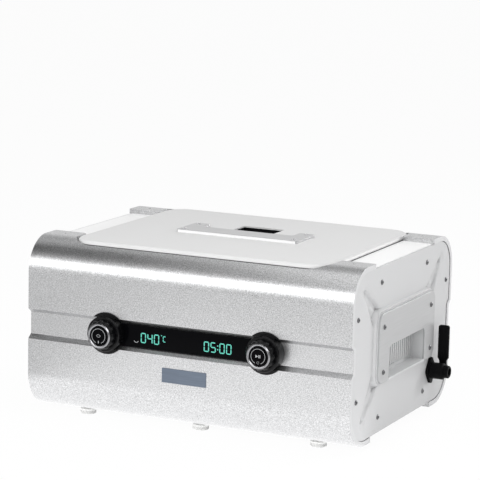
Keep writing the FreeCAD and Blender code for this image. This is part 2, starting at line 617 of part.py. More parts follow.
# ---- deck, tank and basket
def add_deck():
    """Flat deck under the flanges, with tongues under the lid's ends and the tank's opening."""
    body = add_body("deck")
    wide, deep = f"{PANEL_BACK} - panel_gap", "depth / 2 - round_top - panel_gap"
    tongue_x, tongue_y = "lid_width / 2 - lid_corner", "lid_depth / 2 - lid_gap / 2"
    outline = [
        (f"-({wide})", f"-({deep})", None), (f"-({tongue_x})", f"-({deep})", None),
        (f"-({tongue_x})", f"-({tongue_y})", "tongue_corner"), (tongue_x, f"-({tongue_y})", "tongue_corner"),
        (tongue_x, f"-({deep})", None), (wide, f"-({deep})", None), (wide, deep, None),
        (tongue_x, deep, None),
        (tongue_x, tongue_y, "tongue_corner"), (f"-({tongue_x})", tongue_y, "tongue_corner"),
        (f"-({tongue_x})", deep, None), (f"-({wide})", deep, None),
    ]
    slab(body, outline, f"{DECK_TOP} - deck_sheet", "deck_sheet")
    opening = centred("tank_width / 2 + 2 * tank_sheet", "tank_depth / 2 + 2 * tank_sheet",
                      "tank_corner + 2 * tank_sheet")
    window(body, opening, f"{DECK_TOP} + 1", "deck_sheet + 2")
    holes(body, mirrored_places(SHELL_SCREW_X, SHELL_SCREW_Y), "screw_shank + screw_gap", f"{DECK_TOP} + 1",
          "deck_sheet + 2")


def add_tank():
    """Deep-drawn tank with a flange on the deck and a drain outlet in the floor."""
    body = add_body("tank")
    mouth = ("tank_width / 2", "tank_depth / 2", "tank_corner")
    slab(body, centred(*(f"{size} + tank_flange" for size in mouth)), DECK_TOP, "tank_sheet")
    slab(body, centred(*(f"{size} + tank_sheet" for size in mouth)), f"{TANK_FLOOR} - tank_sheet",
         "tank_height")
    hollow = window(body, centred(*mouth), TANK_TOP, "tank_height")
    rounded = round_face(body, hollow, TANK_FLOOR, "tank_floor_round")
    round_face(body, rounded, f"{TANK_FLOOR} - tank_sheet", "tank_floor_round + tank_sheet")
    holes(body, [("pipe_x", "valve_y")], "pipe_bore", f"{TANK_FLOOR} + 1", "tank_sheet + 2")
    seal = add_body("tank_seal")
    grown = "tank_flange - seal_inset"
    slab(seal, centred(*(f"{size} + {grown}" for size in mouth)), TANK_TOP, "seal_height")
    inner = centred(*(f"{size} + {grown} - seal_width" for size in mouth))
    window(seal, inner, f"{TANK_TOP} + seal_height", "seal_height + 1")


def add_basket():
    """Slotted basket standing on short feet in the tank, with a grip at each end."""
    body = add_body("basket")
    half_x, half_y = "tank_width / 2 - basket_gap", "tank_depth / 2 - basket_gap"
    low = f"{TANK_FLOOR} + basket_foot"
    slab(body, centred(half_x, half_y, "tank_corner - basket_gap"), low, "basket_height")
    hollow = centred(f"{half_x} - basket_wire", f"{half_y} - basket_wire",
                     "tank_corner - basket_gap - basket_wire")
    window(body, hollow, f"{low} + basket_height", "basket_height - basket_wire")
    feet = mirrored_places("tank_width / 2 - tank_corner", "tank_depth / 2 - tank_corner")
    rods(body, feet, "basket_grip", TANK_FLOOR, "basket_foot")
    first = "(-basket_pitch * (basket_slots - 1) / 2)"
    floor_slot = rectangle(f"{first} - basket_slot / 2", f"{first} + basket_slot / 2",
                           "-(tank_depth / 2 - tank_corner)", "tank_depth / 2 - tank_corner",
                           "basket_slot / 2.01")
    cut = window(body, floor_slot, f"{low} + basket_wire + 1", "basket_wire + 2")
    along(body, cut, "H_Axis", "basket_pitch", "basket_slots")
    wall_slot = rectangle(f"{first} - basket_slot / 2", f"{first} + basket_slot / 2",
                          f"{low} + 4 * basket_wire",
                          f"{low} + basket_height - 8 * basket_wire", "basket_slot / 2.01")
    cut = window(body, wall_slot, "0", "tank_depth", "XZ_Plane", Midplane=True)
    along(body, cut, "H_Axis", "basket_pitch", "basket_slots")
    grips = add_body("basket_grips", group=True)
    for side in (-1, 1):
        inner = f"{side} * ({half_x} - basket_wire)"
        reach = f"{side} * ({half_x} - basket_wire - 2 * basket_grip)"
        ends = sorted((inner, reach), key=number)
        slab(grips, rectangle(*ends, "-grip_span", "grip_span", "basket_grip / 2"),
             f"{low} + basket_height - basket_grip", "basket_grip / 2")


# ---- lid
def add_lid():
    """Lid: a soft-edged cover, a liner that hangs in the tank's mouth, a finger cup and a plate handle."""
    cover = add_body("lid_cover")
    half_x, half_y = "lid_width / 2", "lid_depth / 2"
    top = slab(cover, centred(half_x, half_y, "lid_corner"), DECK_TOP, "lid_height")
    edge_break(cover, top, Vector(0, 0, 1), "lid_edge", "Fillet")
    inner = centred(f"{half_x} - lid_edge", f"{half_y} - lid_edge", "lid_corner - lid_edge")
    window(cover, inner, DECK_TOP, "lid_height - lid_skin", Reversed=True)
    recess = rectangle("-recess_half", "recess_half", "recess_front", "recess_back", "recess_corner")
    window(cover, recess, f"{LID_TOP} + 1", "lid_skin + 2")
    screw_places = mirrored_places("handle_half - handle_screw_inset",
                                   "handle_depth / 2 - handle_screw_inset")
    holes(cover, screw_places, "screw_shank + screw_gap", f"{LID_TOP} + 1", "lid_skin + 2")

    liner = add_body("lid_liner")
    hang_x, hang_y = "tank_width / 2 - liner_gap", "tank_depth / 2 - liner_gap"
    corner = "tank_corner - liner_gap"
    slab(liner, centred(hang_x, hang_y, corner), f"{LID_UNDER} - liner_drop", "liner_drop")
    window(liner, centred(f"{hang_x} - liner_sheet", f"{hang_y} - liner_sheet", f"{corner} - liner_sheet"),
           f"{LID_UNDER} - liner_drop", "liner_drop - liner_sheet", Reversed=True)
    gap = "recess_half + lid_skin + panel_gap"
    opening = rectangle(f"-({gap})", gap, "recess_front - lid_skin - panel_gap",
                        "recess_back + lid_skin + panel_gap",
                        "recess_corner")
    window(liner, opening, f"{LID_UNDER} + 1", "liner_sheet + 2")
    holes(liner, screw_places, "screw_shank + screw_gap", f"{LID_UNDER} + 1", "liner_sheet + 2")

    cup = add_body("lid_finger_cup")
    outer = rectangle("-(recess_half + lid_skin)", "recess_half + lid_skin", "recess_front - lid_skin",
                      "recess_back + lid_skin", "recess_corner + lid_skin")
    slab(cup, outer, f"{LID_TOP} - recess_deep - lid_skin", "recess_deep")
    window(cup, recess, LID_UNDER, "recess_deep - lid_skin")

    handle = add_body("lid_handle")
    depth_half = "handle_depth / 2"
    tab = "handle_half - handle_tab"
    strip = f"-{depth_half} + handle_strip"
    outline = [
        ("-handle_half", f"-{depth_half}", "handle_corner"),
        ("handle_half", f"-{depth_half}", "handle_corner"),
        ("handle_half", depth_half, "handle_corner"), (tab, depth_half, "handle_corner"),
        (tab, strip, "handle_bay"),
        (f"-({tab})", strip, "handle_bay"), (f"-({tab})", depth_half, "handle_corner"),
        ("-handle_half", depth_half, "handle_corner"),
    ]
    plate = slab(handle, outline, LID_TOP, "handle_rise")
    edge_break(handle, plate, Vector(0, 0, 1), "handle_sheet / 3")
    bay = rectangle(f"-({tab})", tab, f"-({depth_half} - handle_sheet)", f"{strip} + 1")
    window(handle, bay, LID_TOP, "handle_rise - handle_sheet", Reversed=True)
    holes(handle, screw_places, "screw_shank + screw_gap", f"{LID_TOP} + handle_rise + 1", "handle_rise + 2")
    screws = add_body("lid_handle_screws", group=True)
    rods(screws, screw_places, "screw_shank", f"{LID_UNDER} - nut_reach",
         "lid_skin + handle_rise + nut_reach")
    rods(screws, screw_places, "screw_head", f"{LID_TOP} + handle_rise", "screw_rise / 2")


# ---- front controls
def add_controls():
    """Display, badge plate, and two knobs that turn round fixed sleeves with a push cap inside."""
    floor = f"-{BAND_FLOOR}"
    glass = add_body("display_window", "0", floor, "band_middle", FRONT_OUT)
    pane = slab(glass, centred("window_half", "band_height / 2 - screw_gap"), "0", "window_sheet")
    edge_break(glass, pane, Vector(0, 0, 1), "window_sheet / 6")
    board = add_body("display_board", "0", floor, "band_middle", FRONT_OUT)
    slab(board, centred("display_half", "display_high"), "-shell_wall", "shell_wall")
    slab(board, centred("display_half + board_side", "display_high + board_edge"),
         "-(shell_wall + board_depth)",
         "board_depth")
    badge = add_body("badge_plate", "0", "-depth / 2", "(badge_low + badge_high) / 2", FRONT_OUT)
    slab(badge, centred("badge_half", "(badge_high - badge_low) / 2", "badge_sheet"), "0", "badge_sheet")
    for side, sign in (("left", -1), ("right", 1)):
        place = (f"{sign} * knob_x", floor, "band_middle", FRONT_OUT)
        add_bezel(side + "_knob_bezel", place)
        add_ring(side + "_knob_ring", place)
        chrome = add_body(side + "_knob_trim", *place)
        inner = "(sleeve_radius - sleeve_wall + screw_gap)"
        turned(chrome, [(inner, RING_TOP, None), (f"{inner} + chrome_width", RING_TOP, None),
                        (f"{inner} + chrome_width / 2", f"{RING_TOP} + chrome_height", None),
                        (inner, f"{RING_TOP} + chrome_height / 2", None)])
        cap = add_body(side + "_knob_cap", *place)
        radius = "sleeve_radius - sleeve_wall - cap_gap"
        turned(cap,
               [("0", "-(shell_wall + stem_reach)", None),
                ("stem_radius", "-(shell_wall + stem_reach)", None),
                     ("stem_radius", "cap_front - cap_body", None), (radius, "cap_front - cap_body", None),
                     (radius, "cap_front", "cap_round"), ("0", "cap_front", None)])
        encoder = add_body(side + "_encoder", *place)
        bottom = "-(shell_wall + encoder_depth)"
        slab(encoder, centred("encoder_half", "encoder_half"), bottom, "encoder_depth")
        rods(encoder, AXIS, "encoder_neck", "-shell_wall", "shell_wall")
        holes(encoder, AXIS, "stem_radius + running_gap", "1", "shell_wall + encoder_bore")


def add_bezel(label, place):
    """Fixed bezel: brows over the shell above and below the band, a collar and the sleeve the ring turns on."""
    body = add_body(label, *place, group=True)
    rods(body, AXIS, "bezel_radius", "band_depth", "bezel_rise")
    half = "bezel_radius + 1"
    edge = "band_height / 2 + band_slope + screw_gap"
    window(body, centred(half, edge), "band_depth + bezel_rise + 1", "bezel_rise + 2")
    collar = rods(body, AXIS, "collar_radius", "0", "collar_height")
    edge_break(body, collar, Vector(0, 0, 1), "collar_break")
    rods(body, AXIS, "sleeve_radius", "collar_height", "sleeve_height")
    holes(body, AXIS, "sleeve_radius - sleeve_wall", "collar_height + sleeve_height", "sleeve_height")
    holes(body, AXIS, "stem_radius + running_gap", "collar_height + 1", "collar_height + 2")


def add_ring(label, place):
    """Turning ring: a turned rim with scalloped grip, on the bezel's sleeve."""
    body = add_body(label, *place)
    bore = "sleeve_radius + running_gap"
    turned(body, [(bore, RING_BASE, None), ("ring_radius - rim_low", RING_BASE, None),
                  ("ring_radius", f"{RING_BASE} + rim_low", None),
                  ("ring_radius", f"{RING_TOP} - rim_chamfer", None),
                  ("ring_radius - rim_inset", RING_TOP, None), (bore, RING_TOP, None)])
    lobe = holes(body, [("ring_radius + lobe_radius / 2", "0")], "lobe_radius", f"{RING_TOP} + 1",
                 "ring_height + 2")
    around(body, lobe, "lobe_count")


# ---- drain
def add_drain():
    """Pipe from the tank's floor, and a ball valve on the right panel with a quarter-turn lever."""
    pipe = add_body("drain_pipe", "0", "valve_y", "0")
    path = sketch_on(pipe, "XZ_Plane")
    top = f"{TANK_FLOOR} - tank_sheet"
    seat = "panel_recess + panel_sheet + spigot_reach"
    draw(path,
         [("pipe_x", top, None), ("pipe_x", "valve_z", "pipe_bend"),
          (f"width / 2 - ({seat})", "valve_z", None)],
         closed=False)
    ring = sketch_on(pipe, "XY_Plane", top)
    circle(ring, "pipe_x", "0", "pipe_radius")
    circle(ring, "pipe_x", "0", "pipe_bore")
    feature(pipe, "AdditivePipe", ring, Spine=(path, []))

    place = ("width / 2", "valve_y", "valve_z", RIGHT_OUT)
    valve = add_body("valve_body", *place)
    tall, wide = "(2 * valve_radius - valve_tip)", "(valve_radius + valve_ear)"
    diamond = [(f"-{wide}", "0", "ear_radius"), ("0", f"-{tall}", "tip_radius"), (wide, "0", "ear_radius"),
               ("0", tall, "tip_radius")]
    slab(valve, diamond, "-panel_recess", "valve_flange")
    face = "valve_flange - panel_recess"
    rods(valve, AXIS, "nozzle_radius - spigot_gap", f"-({seat})", "panel_sheet + spigot_reach")
    barrel = rods(valve, AXIS, "valve_radius", face, "valve_length")
    edge_break(valve, barrel, Vector(0, 0, 1), "valve_break")
    nozzle = rods(valve, AXIS, "nozzle_radius", f"{face} + valve_length", "nozzle_length")
    edge_break(valve, nozzle, Vector(0, 0, 1), "nozzle_break")
    stem_place = [("0", "ball_at")]
    rods(valve, stem_place, "valve_stem + boss_wall", "0", BOSS_REACH, "YZ_Plane")
    holes(valve, AXIS, "pipe_bore", NOZZLE_END, f"{NOZZLE_END} + {seat} + 1")
    holes(valve, stem_place, "valve_stem + running_gap", BOSS_REACH, BOSS_REACH, "YZ_Plane")
    ball_space = valve.newObject("PartDesign::SubtractiveSphere", "SubtractiveSphere")
    ball_space.setExpression("Radius", bound("ball_radius + ball_gap"))
    ball_space.setExpression("Placement.Base.z", bound("ball_at"))
    valve.Tip = ball_space

    stem = add_body("valve_ball", *place)
    ball = stem.newObject("PartDesign::AdditiveSphere", "AdditiveSphere")
    ball.setExpression("Radius", bound("ball_radius"))
    ball.setExpression("Placement.Base.z", bound("ball_at"))
    stem.Tip = ball
    lever_face = f"{BOSS_REACH} + lever_gap"
    rods(stem, stem_place, "valve_stem", "ball_radius / 2", f"{lever_face} + lever_sheet - ball_radius / 2",
         "YZ_Plane")
    bore = sketch_on(stem, "XZ_Plane")
    circle(bore, "0", "ball_at", "ball_bore")
    feature(stem, "Pocket", bore, "3 * ball_radius", Midplane=True)

    lever = add_body("valve_lever", *place)
    arm, blade = "lever_arm / 2", "lever_width / 2"
    waist = "lever_neck - lever_corner"
    outline = [
        ("0", f"ball_at - {arm}", None), (waist, f"ball_at - {arm}", "lever_corner"),
        ("lever_neck", f"ball_at - {blade}", "lever_corner"),
        ("lever_length", f"ball_at - {blade}", "lever_corner"),
        ("lever_length", f"ball_at + {blade}", "lever_corner"),
        ("lever_neck", f"ball_at + {blade}", "lever_corner"),
        (waist, f"ball_at + {arm}", "lever_corner"), ("0", f"ball_at + {arm}", None),
    ]
    slab(lever, outline, lever_face, "lever_sheet", "YZ_Plane")
    rods(lever, stem_place, "lever_hub", lever_face, "lever_sheet", "YZ_Plane")
    edge_break(lever, lever.Tip, Vector(1, 0, 0), "lever_break")
    holes(lever, stem_place, "valve_stem + running_gap", f"{lever_face} + lever_sheet + 1", "lever_sheet + 2",
          "YZ_Plane")


# ---- drive, heating and power
def add_drive():
    """Six bonded transducer stacks, heater pads and the two boards on the base."""
    places = [(f"{i} * stack_x", f"{j} * stack_y") for i in (-1, 0, 1) for j in (-1, 1)]
    under = f"{TANK_FLOOR} - tank_sheet"
    horn_foot = f"{under} - front_mass"
    front = add_body("transducer_horns", group=True)
    flare = math.degrees(math.atan(number("(stack_radius - stack_neck) / (front_mass - horn_face)")))
    rods(front, places, "stack_neck", horn_foot, "front_mass - horn_face", TaperAngle=flare)
    rods(front, places, "stack_radius", f"{under} - horn_face", "horn_face")
    rings = add_body("transducer_ceramics", group=True)
    rods(rings, places, "stack_neck", f"{horn_foot} - ceramic", "ceramic")
    back = add_body("transducer_back_masses", group=True)
    rods(back, places, "stack_neck", f"{horn_foot} - ceramic - back_mass", "back_mass")
    rods(back, places, "bolt_radius", f"{horn_foot} - ceramic - back_mass - bolt_head", "bolt_head")
    pads = add_body("heater_pads", group=True)
    face = "tank_depth / 2 + tank_sheet"
    pad_outline = rectangle("-heater_half", "heater_half", "heater_low", "heater_high", "heater_corner")
    slab(pads, pad_outline, face, "heater_sheet", "XZ_Plane")
    slab(pads, pad_outline, f"-({face} + heater_sheet)", "heater_sheet", "XZ_Plane")
    outer, inner = "(width / 2 - board_outset)", "(tank_width / 2 + board_inset)"
    supply = add_body("power_supply")
    slab(supply, rectangle(f"-{outer}", f"-{inner}", "-supply_half", "supply_half"), BASE_TOP,
         "supply_height")
    generator = add_body("generator_board")
    slab(generator, rectangle(inner, outer, "board_front", "board_back"), BASE_TOP, "board_sheet")
    sink = rectangle(f"{inner} + board_sheet", f"{outer} - 2 * board_sheet", "board_front + sink_inset",
                     "board_back - sink_inset")
    slab(generator, sink, f"{BASE_TOP} + board_sheet", "sink_height")
    first = "(board_front + sink_inset + fin_pitch)"
    gap = rectangle(f"{inner} + board_sheet - 1", f"{outer} - 2 * board_sheet + 1", f"{first} - fin_gap / 2",
                    f"{first} + fin_gap / 2")
    cut = window(generator, gap, f"{BASE_TOP} + board_sheet + sink_height", "sink_height - fin_foot")
    along(generator, cut, "V_Axis", "fin_pitch", "fin_count")


def add_fan():
    """Fan frame with a motor seat on three spokes, and a rotor with pitched blades."""
    place = ("fan_x", "depth / 2 - shell_wall", "fan_z", REAR_OUT)
    frame = add_body("fan_frame", *place, group=True)
    slab(frame, centred("fan_size / 2", "fan_size / 2", "fan_corner"), "-fan_depth", "fan_depth")
    holes(frame, AXIS, "fan_radius", "1", "fan_depth + 2")
    rods(frame, AXIS, "fan_hub", "-fan_depth", "spoke_sheet")
    spoke = slab(frame, rectangle("0", "fan_radius + 1", "-spoke_half", "spoke_half"), "-fan_depth",
                 "spoke_sheet")
    around(frame, spoke, "spoke_count")
    holes(frame, AXIS, "stem_radius + running_gap", "0", "fan_depth + 1")
    rotor = add_body("fan_rotor", *place)
    base, face = "-(fan_depth - spoke_sheet - fan_gap)", "-fan_inset"
    turned(rotor, [("0", "-fan_depth + fan_gap", None), ("stem_radius", "-fan_depth + fan_gap", None),
                   ("stem_radius", base, None), ("fan_hub", base, None), ("fan_hub", face, "fan_inset"),
                   ("0", face, None)])
    middle = f"({base} + {face}) / 2"
    low, high = f"{middle} - blade_rise", f"{middle} + blade_rise"
    sections = []
    for level, reach in (("fan_hub - 1", "blade_root"), ("fan_radius - blade_gap", "blade_tip")):
        section = sketch_on(rotor, "YZ_Plane", level)
        draw(section, [(f"-{reach}", low, None), (f"-{reach} + blade_sheet", low, None), (reach, high, None),
                       (f"{reach} - blade_sheet", high, None)])
        sections.append(section)
    blade = feature(rotor, "AdditiveLoft", sections[0], Sections=sections[1:])
    pattern = rotor.newObject("PartDesign::PolarPattern", "PolarPattern")
    pattern.Originals = [blade]
    pattern.Axis = (next(f for f in rotor.Origin.OriginFeatures if f.Role == "Z_Axis"), [""])
    pattern.Angle = 360
    pattern.setExpression("Occurrences", bound("blade_count"))
    rotor.Tip = pattern


def add_power():
    """Mains inlet, rocker switch and fuse holder in the rear shell."""
    inlet = add_body("inlet_socket", "power_x", "depth / 2", "power_z", REAR_OUT)
    slab(inlet, centred("inlet_half + inlet_lip", "inlet_high + inlet_lip", "inlet_lip"), "0", "inlet_flange")
    slab(inlet, centred("inlet_half - screw_gap", "inlet_high - screw_gap"), "-inlet_deep", "inlet_deep")
    window(inlet, centred("socket_half", "socket_high", "socket_corner"), "inlet_flange", "socket_deep")
    pins = [("-pin_x", "-pin_drop"), ("0", "0"), ("pin_x", "-pin_drop")]
    rods(inlet, pins, "pin_radius", "inlet_flange - socket_deep", "socket_deep - pin_short")

    half, high = "(switch_half + switch_frame)", "(switch_high + switch_frame)"
    frame = add_body("switch_frame", "switch_x", "depth / 2", "power_z", REAR_OUT)
    slab(frame, centred(f"{half} + switch_lip", f"{high} + switch_lip", "switch_lip"), "0", "switch_bezel")
    slab(frame, centred(f"{half} - screw_gap", f"{high} - screw_gap"), "-switch_depth", "switch_depth")
    window(frame, centred("switch_half", "switch_high"), "switch_bezel + 1", "switch_depth - 1")
    pin_seat = "(switch_half - rocker_gap + rocker_pin_length + running_gap)"
    holes(frame, AXIS, "rocker_pin + running_gap", pin_seat, f"2 * {pin_seat}", "YZ_Plane")
    rocker = add_body("power_rocker", "switch_x", "depth / 2", "power_z", REAR_OUT)
    wide = "(switch_half - rocker_gap)"
    tall = "(switch_high - rocker_end)"
    profile = [("-rocker_foot", "-rocker_waist", None), ("0", "-rocker_deep", None),
               ("rocker_foot", "-rocker_waist", None),
               (tall, "-rocker_low", None), ("0", "rocker_crest", None), (f"-{tall}", "rocker_high", None)]
    slab(rocker, profile, f"-{wide}", f"2 * {wide}", "YZ_Plane")
    for low in (f"-({wide} + rocker_pin_length)", wide):
        rods(rocker, AXIS, "rocker_pin", low, "rocker_pin_length", "YZ_Plane")

    fuse = add_body("fuse_holder", "fuse_x", "depth / 2", "power_z", REAR_OUT)
    rods(fuse, AXIS, "fuse_radius - screw_gap", "-fuse_depth", "fuse_depth")
    cap = rods(fuse, AXIS, "fuse_radius + fuse_lip", "0", "inlet_flange")
    edge_break(fuse, cap, Vector(0, 0, 1), "fuse_lip / 4")
    window(fuse, centred("fuse_radius / 2", "fuse_slot / 2"), "inlet_flange", "fuse_slot")


def export():
    """Stop on any failed object, then write each piece's solids to its own file."""
    doc.recompute()
    failed = [o.Label for o in doc.Objects if {"Invalid", "Error"} & set(o.State)]
    if failed:
        raise RuntimeError(f"failed features: {failed}")
    os.makedirs("parts", exist_ok=True)
    for piece in PIECES:
        shape = piece.Shape
        if shape.isNull() or not shape.isValid() or not shape.Solids:
            raise RuntimeError(f"{piece.Label} has no valid solid")
        shape.exportStep(f"parts/{piece.Label}.step")
        print(f"{piece.Label}: {len(shape.Solids)} solids, {shape.Volume:.0f} mm3")


add_case()
add_deck()
add_tank()
add_basket()
add_lid()
add_controls()
add_drain()
add_drive()
add_fan()
add_power()
export()
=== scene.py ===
"""Looks of a bench-top ultrasonic cleaner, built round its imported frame.

Every length is in metres, in the frame's own axes: X to the right, Y to the back, Z up.
Each sub-assembly is a class that holds its sizes, takes its places from the frame's boxes,
builds its meshes and dresses them. Each finish is a small class that builds one material.
"""

from __future__ import annotations

import json
import logging
import math
from collections.abc import Callable, Iterable, Sequence
from dataclasses import dataclass
from enum import Enum

import bmesh
import bpy
from mathutils import Matrix, Vector

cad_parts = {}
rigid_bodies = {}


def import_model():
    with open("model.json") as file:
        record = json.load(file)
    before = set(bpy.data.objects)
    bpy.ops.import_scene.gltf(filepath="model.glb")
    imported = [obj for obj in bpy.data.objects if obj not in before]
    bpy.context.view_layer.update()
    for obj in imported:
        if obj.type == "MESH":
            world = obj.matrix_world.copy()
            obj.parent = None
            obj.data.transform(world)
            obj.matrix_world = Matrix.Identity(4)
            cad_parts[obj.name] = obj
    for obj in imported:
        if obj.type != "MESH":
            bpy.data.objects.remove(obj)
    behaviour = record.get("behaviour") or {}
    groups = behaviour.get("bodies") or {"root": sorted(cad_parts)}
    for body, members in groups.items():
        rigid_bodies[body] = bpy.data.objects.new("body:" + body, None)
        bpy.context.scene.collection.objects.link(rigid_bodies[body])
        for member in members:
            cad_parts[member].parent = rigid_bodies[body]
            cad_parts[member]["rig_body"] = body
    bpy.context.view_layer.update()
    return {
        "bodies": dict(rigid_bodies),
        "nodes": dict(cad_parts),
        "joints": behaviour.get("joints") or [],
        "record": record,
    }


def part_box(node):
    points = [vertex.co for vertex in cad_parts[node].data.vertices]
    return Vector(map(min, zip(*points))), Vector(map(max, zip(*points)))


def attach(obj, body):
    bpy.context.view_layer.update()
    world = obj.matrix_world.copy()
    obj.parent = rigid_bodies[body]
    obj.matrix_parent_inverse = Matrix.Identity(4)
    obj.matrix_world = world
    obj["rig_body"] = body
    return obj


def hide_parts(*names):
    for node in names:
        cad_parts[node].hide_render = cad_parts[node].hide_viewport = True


LOG = logging.getLogger("cleaner")
MM = 0.001
SAME_POINT = 1e-7
WELD_GAP = 2e-6
FLAT_ANGLE = math.radians(0.5)
EDGE_ANGLE = math.radians(25)
ARC_STEP = 0.12
Point2 = tuple[float, float]


# ---------------------------------------------------------------- shader kit


class Wire:
    """A shader value on which Python arithmetic adds Math nodes."""

    def __init__(self, graph: Graph, socket: bpy.types.NodeSocket) -> None:
        """Wrap one output socket of a graph."""
        self.graph = graph
        self.socket = socket

    def math(self, operation: str, *others: Wire | float, first: Wire | float | None = None) -> Wire:
        """Add one Math node.

        Args:
            operation: the node's operation, such as "MULTIPLY".
            others: the values that follow this one.
            first: a value that comes before this one, for reflected operators.

        Returns:
            The node's output.
        """
        values = ([] if first is None else [first]) + [self, *others]
        made = self.graph.node("ShaderNodeMath", {"operation": operation}, dict(enumerate(values)))
        return Wire(self.graph, made.outputs[0])

    def __add__(self, other: Wire | float) -> Wire:
        """Sum."""
        return self.math("ADD", other)

    def __sub__(self, other: Wire | float) -> Wire:
        """Difference."""
        return self.math("SUBTRACT", other)

    def __mul__(self, other: Wire | float) -> Wire:
        """Product."""
        return self.math("MULTIPLY", other)

    def __rsub__(self, other: float) -> Wire:
        """Reflected difference."""
        return self.math("SUBTRACT", first=other)

    __radd__ = __add__
    __rmul__ = __mul__

    def ramp(self, low: float, high: float, start: float = 0.0, end: float = 1.0) -> Wire:
        """Map low..high smoothly to start..end and hold the ends."""
        made = self.graph.node(
            "ShaderNodeMapRange",
            {"interpolation_type": "SMOOTHSTEP"},
            {"Value": self, "From Min": low, "From Max": high, "To Min": start, "To Max": end},
        )
        return Wire(self.graph, made.outputs[0])


class Tree:
    """A node tree in the making."""

    tree: bpy.types.NodeTree

    def node(self, kind: str, settings: dict | None = None, values: dict | None = None) -> bpy.types.Node:
        """Add a node.

        Args:
            kind: the node's type.
            settings: attributes that are set before any socket.
            values: numbers, colours, sockets or wires for input sockets, by name or index.

        Returns:
            The node.
        """
        made = self.tree.nodes.new(kind)
        for name, setting in (settings or {}).items():
            setattr(made, name, setting)
        for name, value in (values or {}).items():
            self.feed(made.inputs[name], value)
        return made

    def feed(self, socket: bpy.types.NodeSocket, value: object) -> None:
        """Link a wire or another node's socket to a socket, or set its plain value."""
        source = value.socket if isinstance(value, Wire) else value
        if isinstance(source, bpy.types.NodeSocket):
            self.tree.links.new(source, socket)
        else:
            socket.default_value = value


class Graph(Tree):
    """The node tree of one material, ending in a Principled surface, or of the world."""

    def __init__(self, name: str, world: bpy.types.NodeTree | None = None) -> None:
        """Start a material with an empty tree, a surface and an output, or empty a world's tree.

        Args:
            name: the material's name.
            world: the tree of a world, where the graph is not a material.
        """
        if world:
            self.tree = world
            self.tree.nodes.clear()
            self.output = self.tree.nodes.new("ShaderNodeOutputWorld")
            return
        self.material = bpy.data.materials.new(name)
        self.material.use_nodes = True
        self.tree = self.material.node_tree
        self.tree.nodes.clear()
        self.output = self.tree.nodes.new("ShaderNodeOutputMaterial")
        self.surface = self.tree.nodes.new("ShaderNodeBsdfPrincipled")
        self.tree.links.new(self.surface.outputs[0], self.output.inputs[0])
        self.place = Wire(self, self.node("ShaderNodeTexCoord").outputs["Object"])

    def set(self, **values: object) -> Graph:
        """Set the surface's sockets, named with underscores for spaces."""
        for name, value in values.items():
            self.feed(self.surface.inputs[name.replace("_", " ")], value)
        return self

    def noise(self, scale: float, stretch: Sequence[float] = (1, 1, 1), detail: float = 2.0) -> Wire:
        """Noise over the piece, finer with scale and stretched along axes with small factors."""
        mapped = self.node("ShaderNodeMapping", None, {"Vector": self.place, "Scale": stretch})
        values = {"Vector": mapped.outputs[0], "Scale": scale, "Detail": detail}
        made = self.node("ShaderNodeTexNoise", None, values)
        return Wire(self, made.outputs[0])

    def mix(self, factor: Wire, low: Sequence[float], high: Sequence[float]) -> Wire:
        """Blend two colours."""
        made = self.node("ShaderNodeMix", {"data_type": "RGBA"}, {0: factor, 6: low, 7: high})
        return Wire(self, made.outputs[2])

    def bump(self, height: Wire, strength: float, distance: float) -> Graph:
        """Give the surface relief of a height in metres."""
        values = {"Height": height, "Strength": strength, "Distance": distance}
        made = self.node("ShaderNodeBump", None, values)
        return self.set(Normal=made.outputs[0])


def grey(value: float) -> tuple[float, float, float, float]:
    """A neutral colour."""
    return (value, value, value, 1.0)


def scaled(colour: Sequence[float], factor: float) -> tuple[float, ...]:
    """A colour made lighter or darker."""
    return tuple(min(1.0, c * factor) for c in colour[:3]) + (1.0,)


# ---------------------------------------------------------------- finishes


@dataclass(frozen=True)
class Finish:
    """A finish with a colour that varies a little over the surface and a fine relief."""

    name: str
    colour: tuple[float, float, float]
    roughness: float = 0.4
    metallic: float = 0.0
    grain: float = 900.0
    variation: float = 0.05
    relief: float = 0.15
    relief_depth: float = 0.05 * MM
    stretch: tuple[float, float, float] = (1.0, 1.0, 1.0)
    specular: float = 0.5
    cloud: float = 9.0
    cloud_sheen: float = 0.08
    grain_sheen: float = 0.08

    def make(self) -> bpy.types.Material:
        """Build the material."""
        graph = Graph(self.name)
        fine = graph.noise(self.grain, self.stretch)
        cloud = graph.noise(self.cloud, detail=3.0)
        self.base(graph, (fine - 0.5) * 2.0 + 0.5)
        even = self.roughness - (self.cloud_sheen + self.grain_sheen) / 2
        graph.set(Roughness=cloud * self.cloud_sheen + fine * self.grain_sheen + even)
        graph.bump(fine, self.relief, self.relief_depth)
        return graph.material

    def base(self, graph: Graph, tone: Wire) -> None:
        """Set the colour between its two ends, and the constant values."""
        low, high = scaled(self.colour, 1 - self.variation), scaled(self.colour, 1 + self.variation)
        colour = graph.mix(tone, low, high)
        graph.set(Base_Color=colour, Metallic=self.metallic, Specular_IOR_Level=self.specular)


@dataclass(frozen=True)
class Blasted(Finish):
    """Bead-blasted anodised aluminium: crisp grain at two scales that sparkles."""

    cloud_sheen: float = 0.06
    grain_sheen: float = 0.2
    fine_scale: float = 2.3
    fine_height: float = 0.6
    coarse_tone: float = 1.6
    fine_tone: float = 1.8

    def make(self) -> bpy.types.Material:
        """Build the material."""
        graph = Graph(self.name)
        coarse = graph.noise(self.grain, detail=1.0)
        fine = graph.noise(self.grain * self.fine_scale, detail=0.0)
        cloud = graph.noise(self.cloud, detail=3.0)
        self.base(graph, (coarse - 0.5) * self.coarse_tone + (fine - 0.5) * self.fine_tone + 0.5)
        graph.set(Roughness=cloud * self.cloud_sheen + (fine - 0.5) * self.grain_sheen + self.roughness)
        graph.bump(coarse + fine * self.fine_height, self.relief, self.relief_depth)
        return graph.material


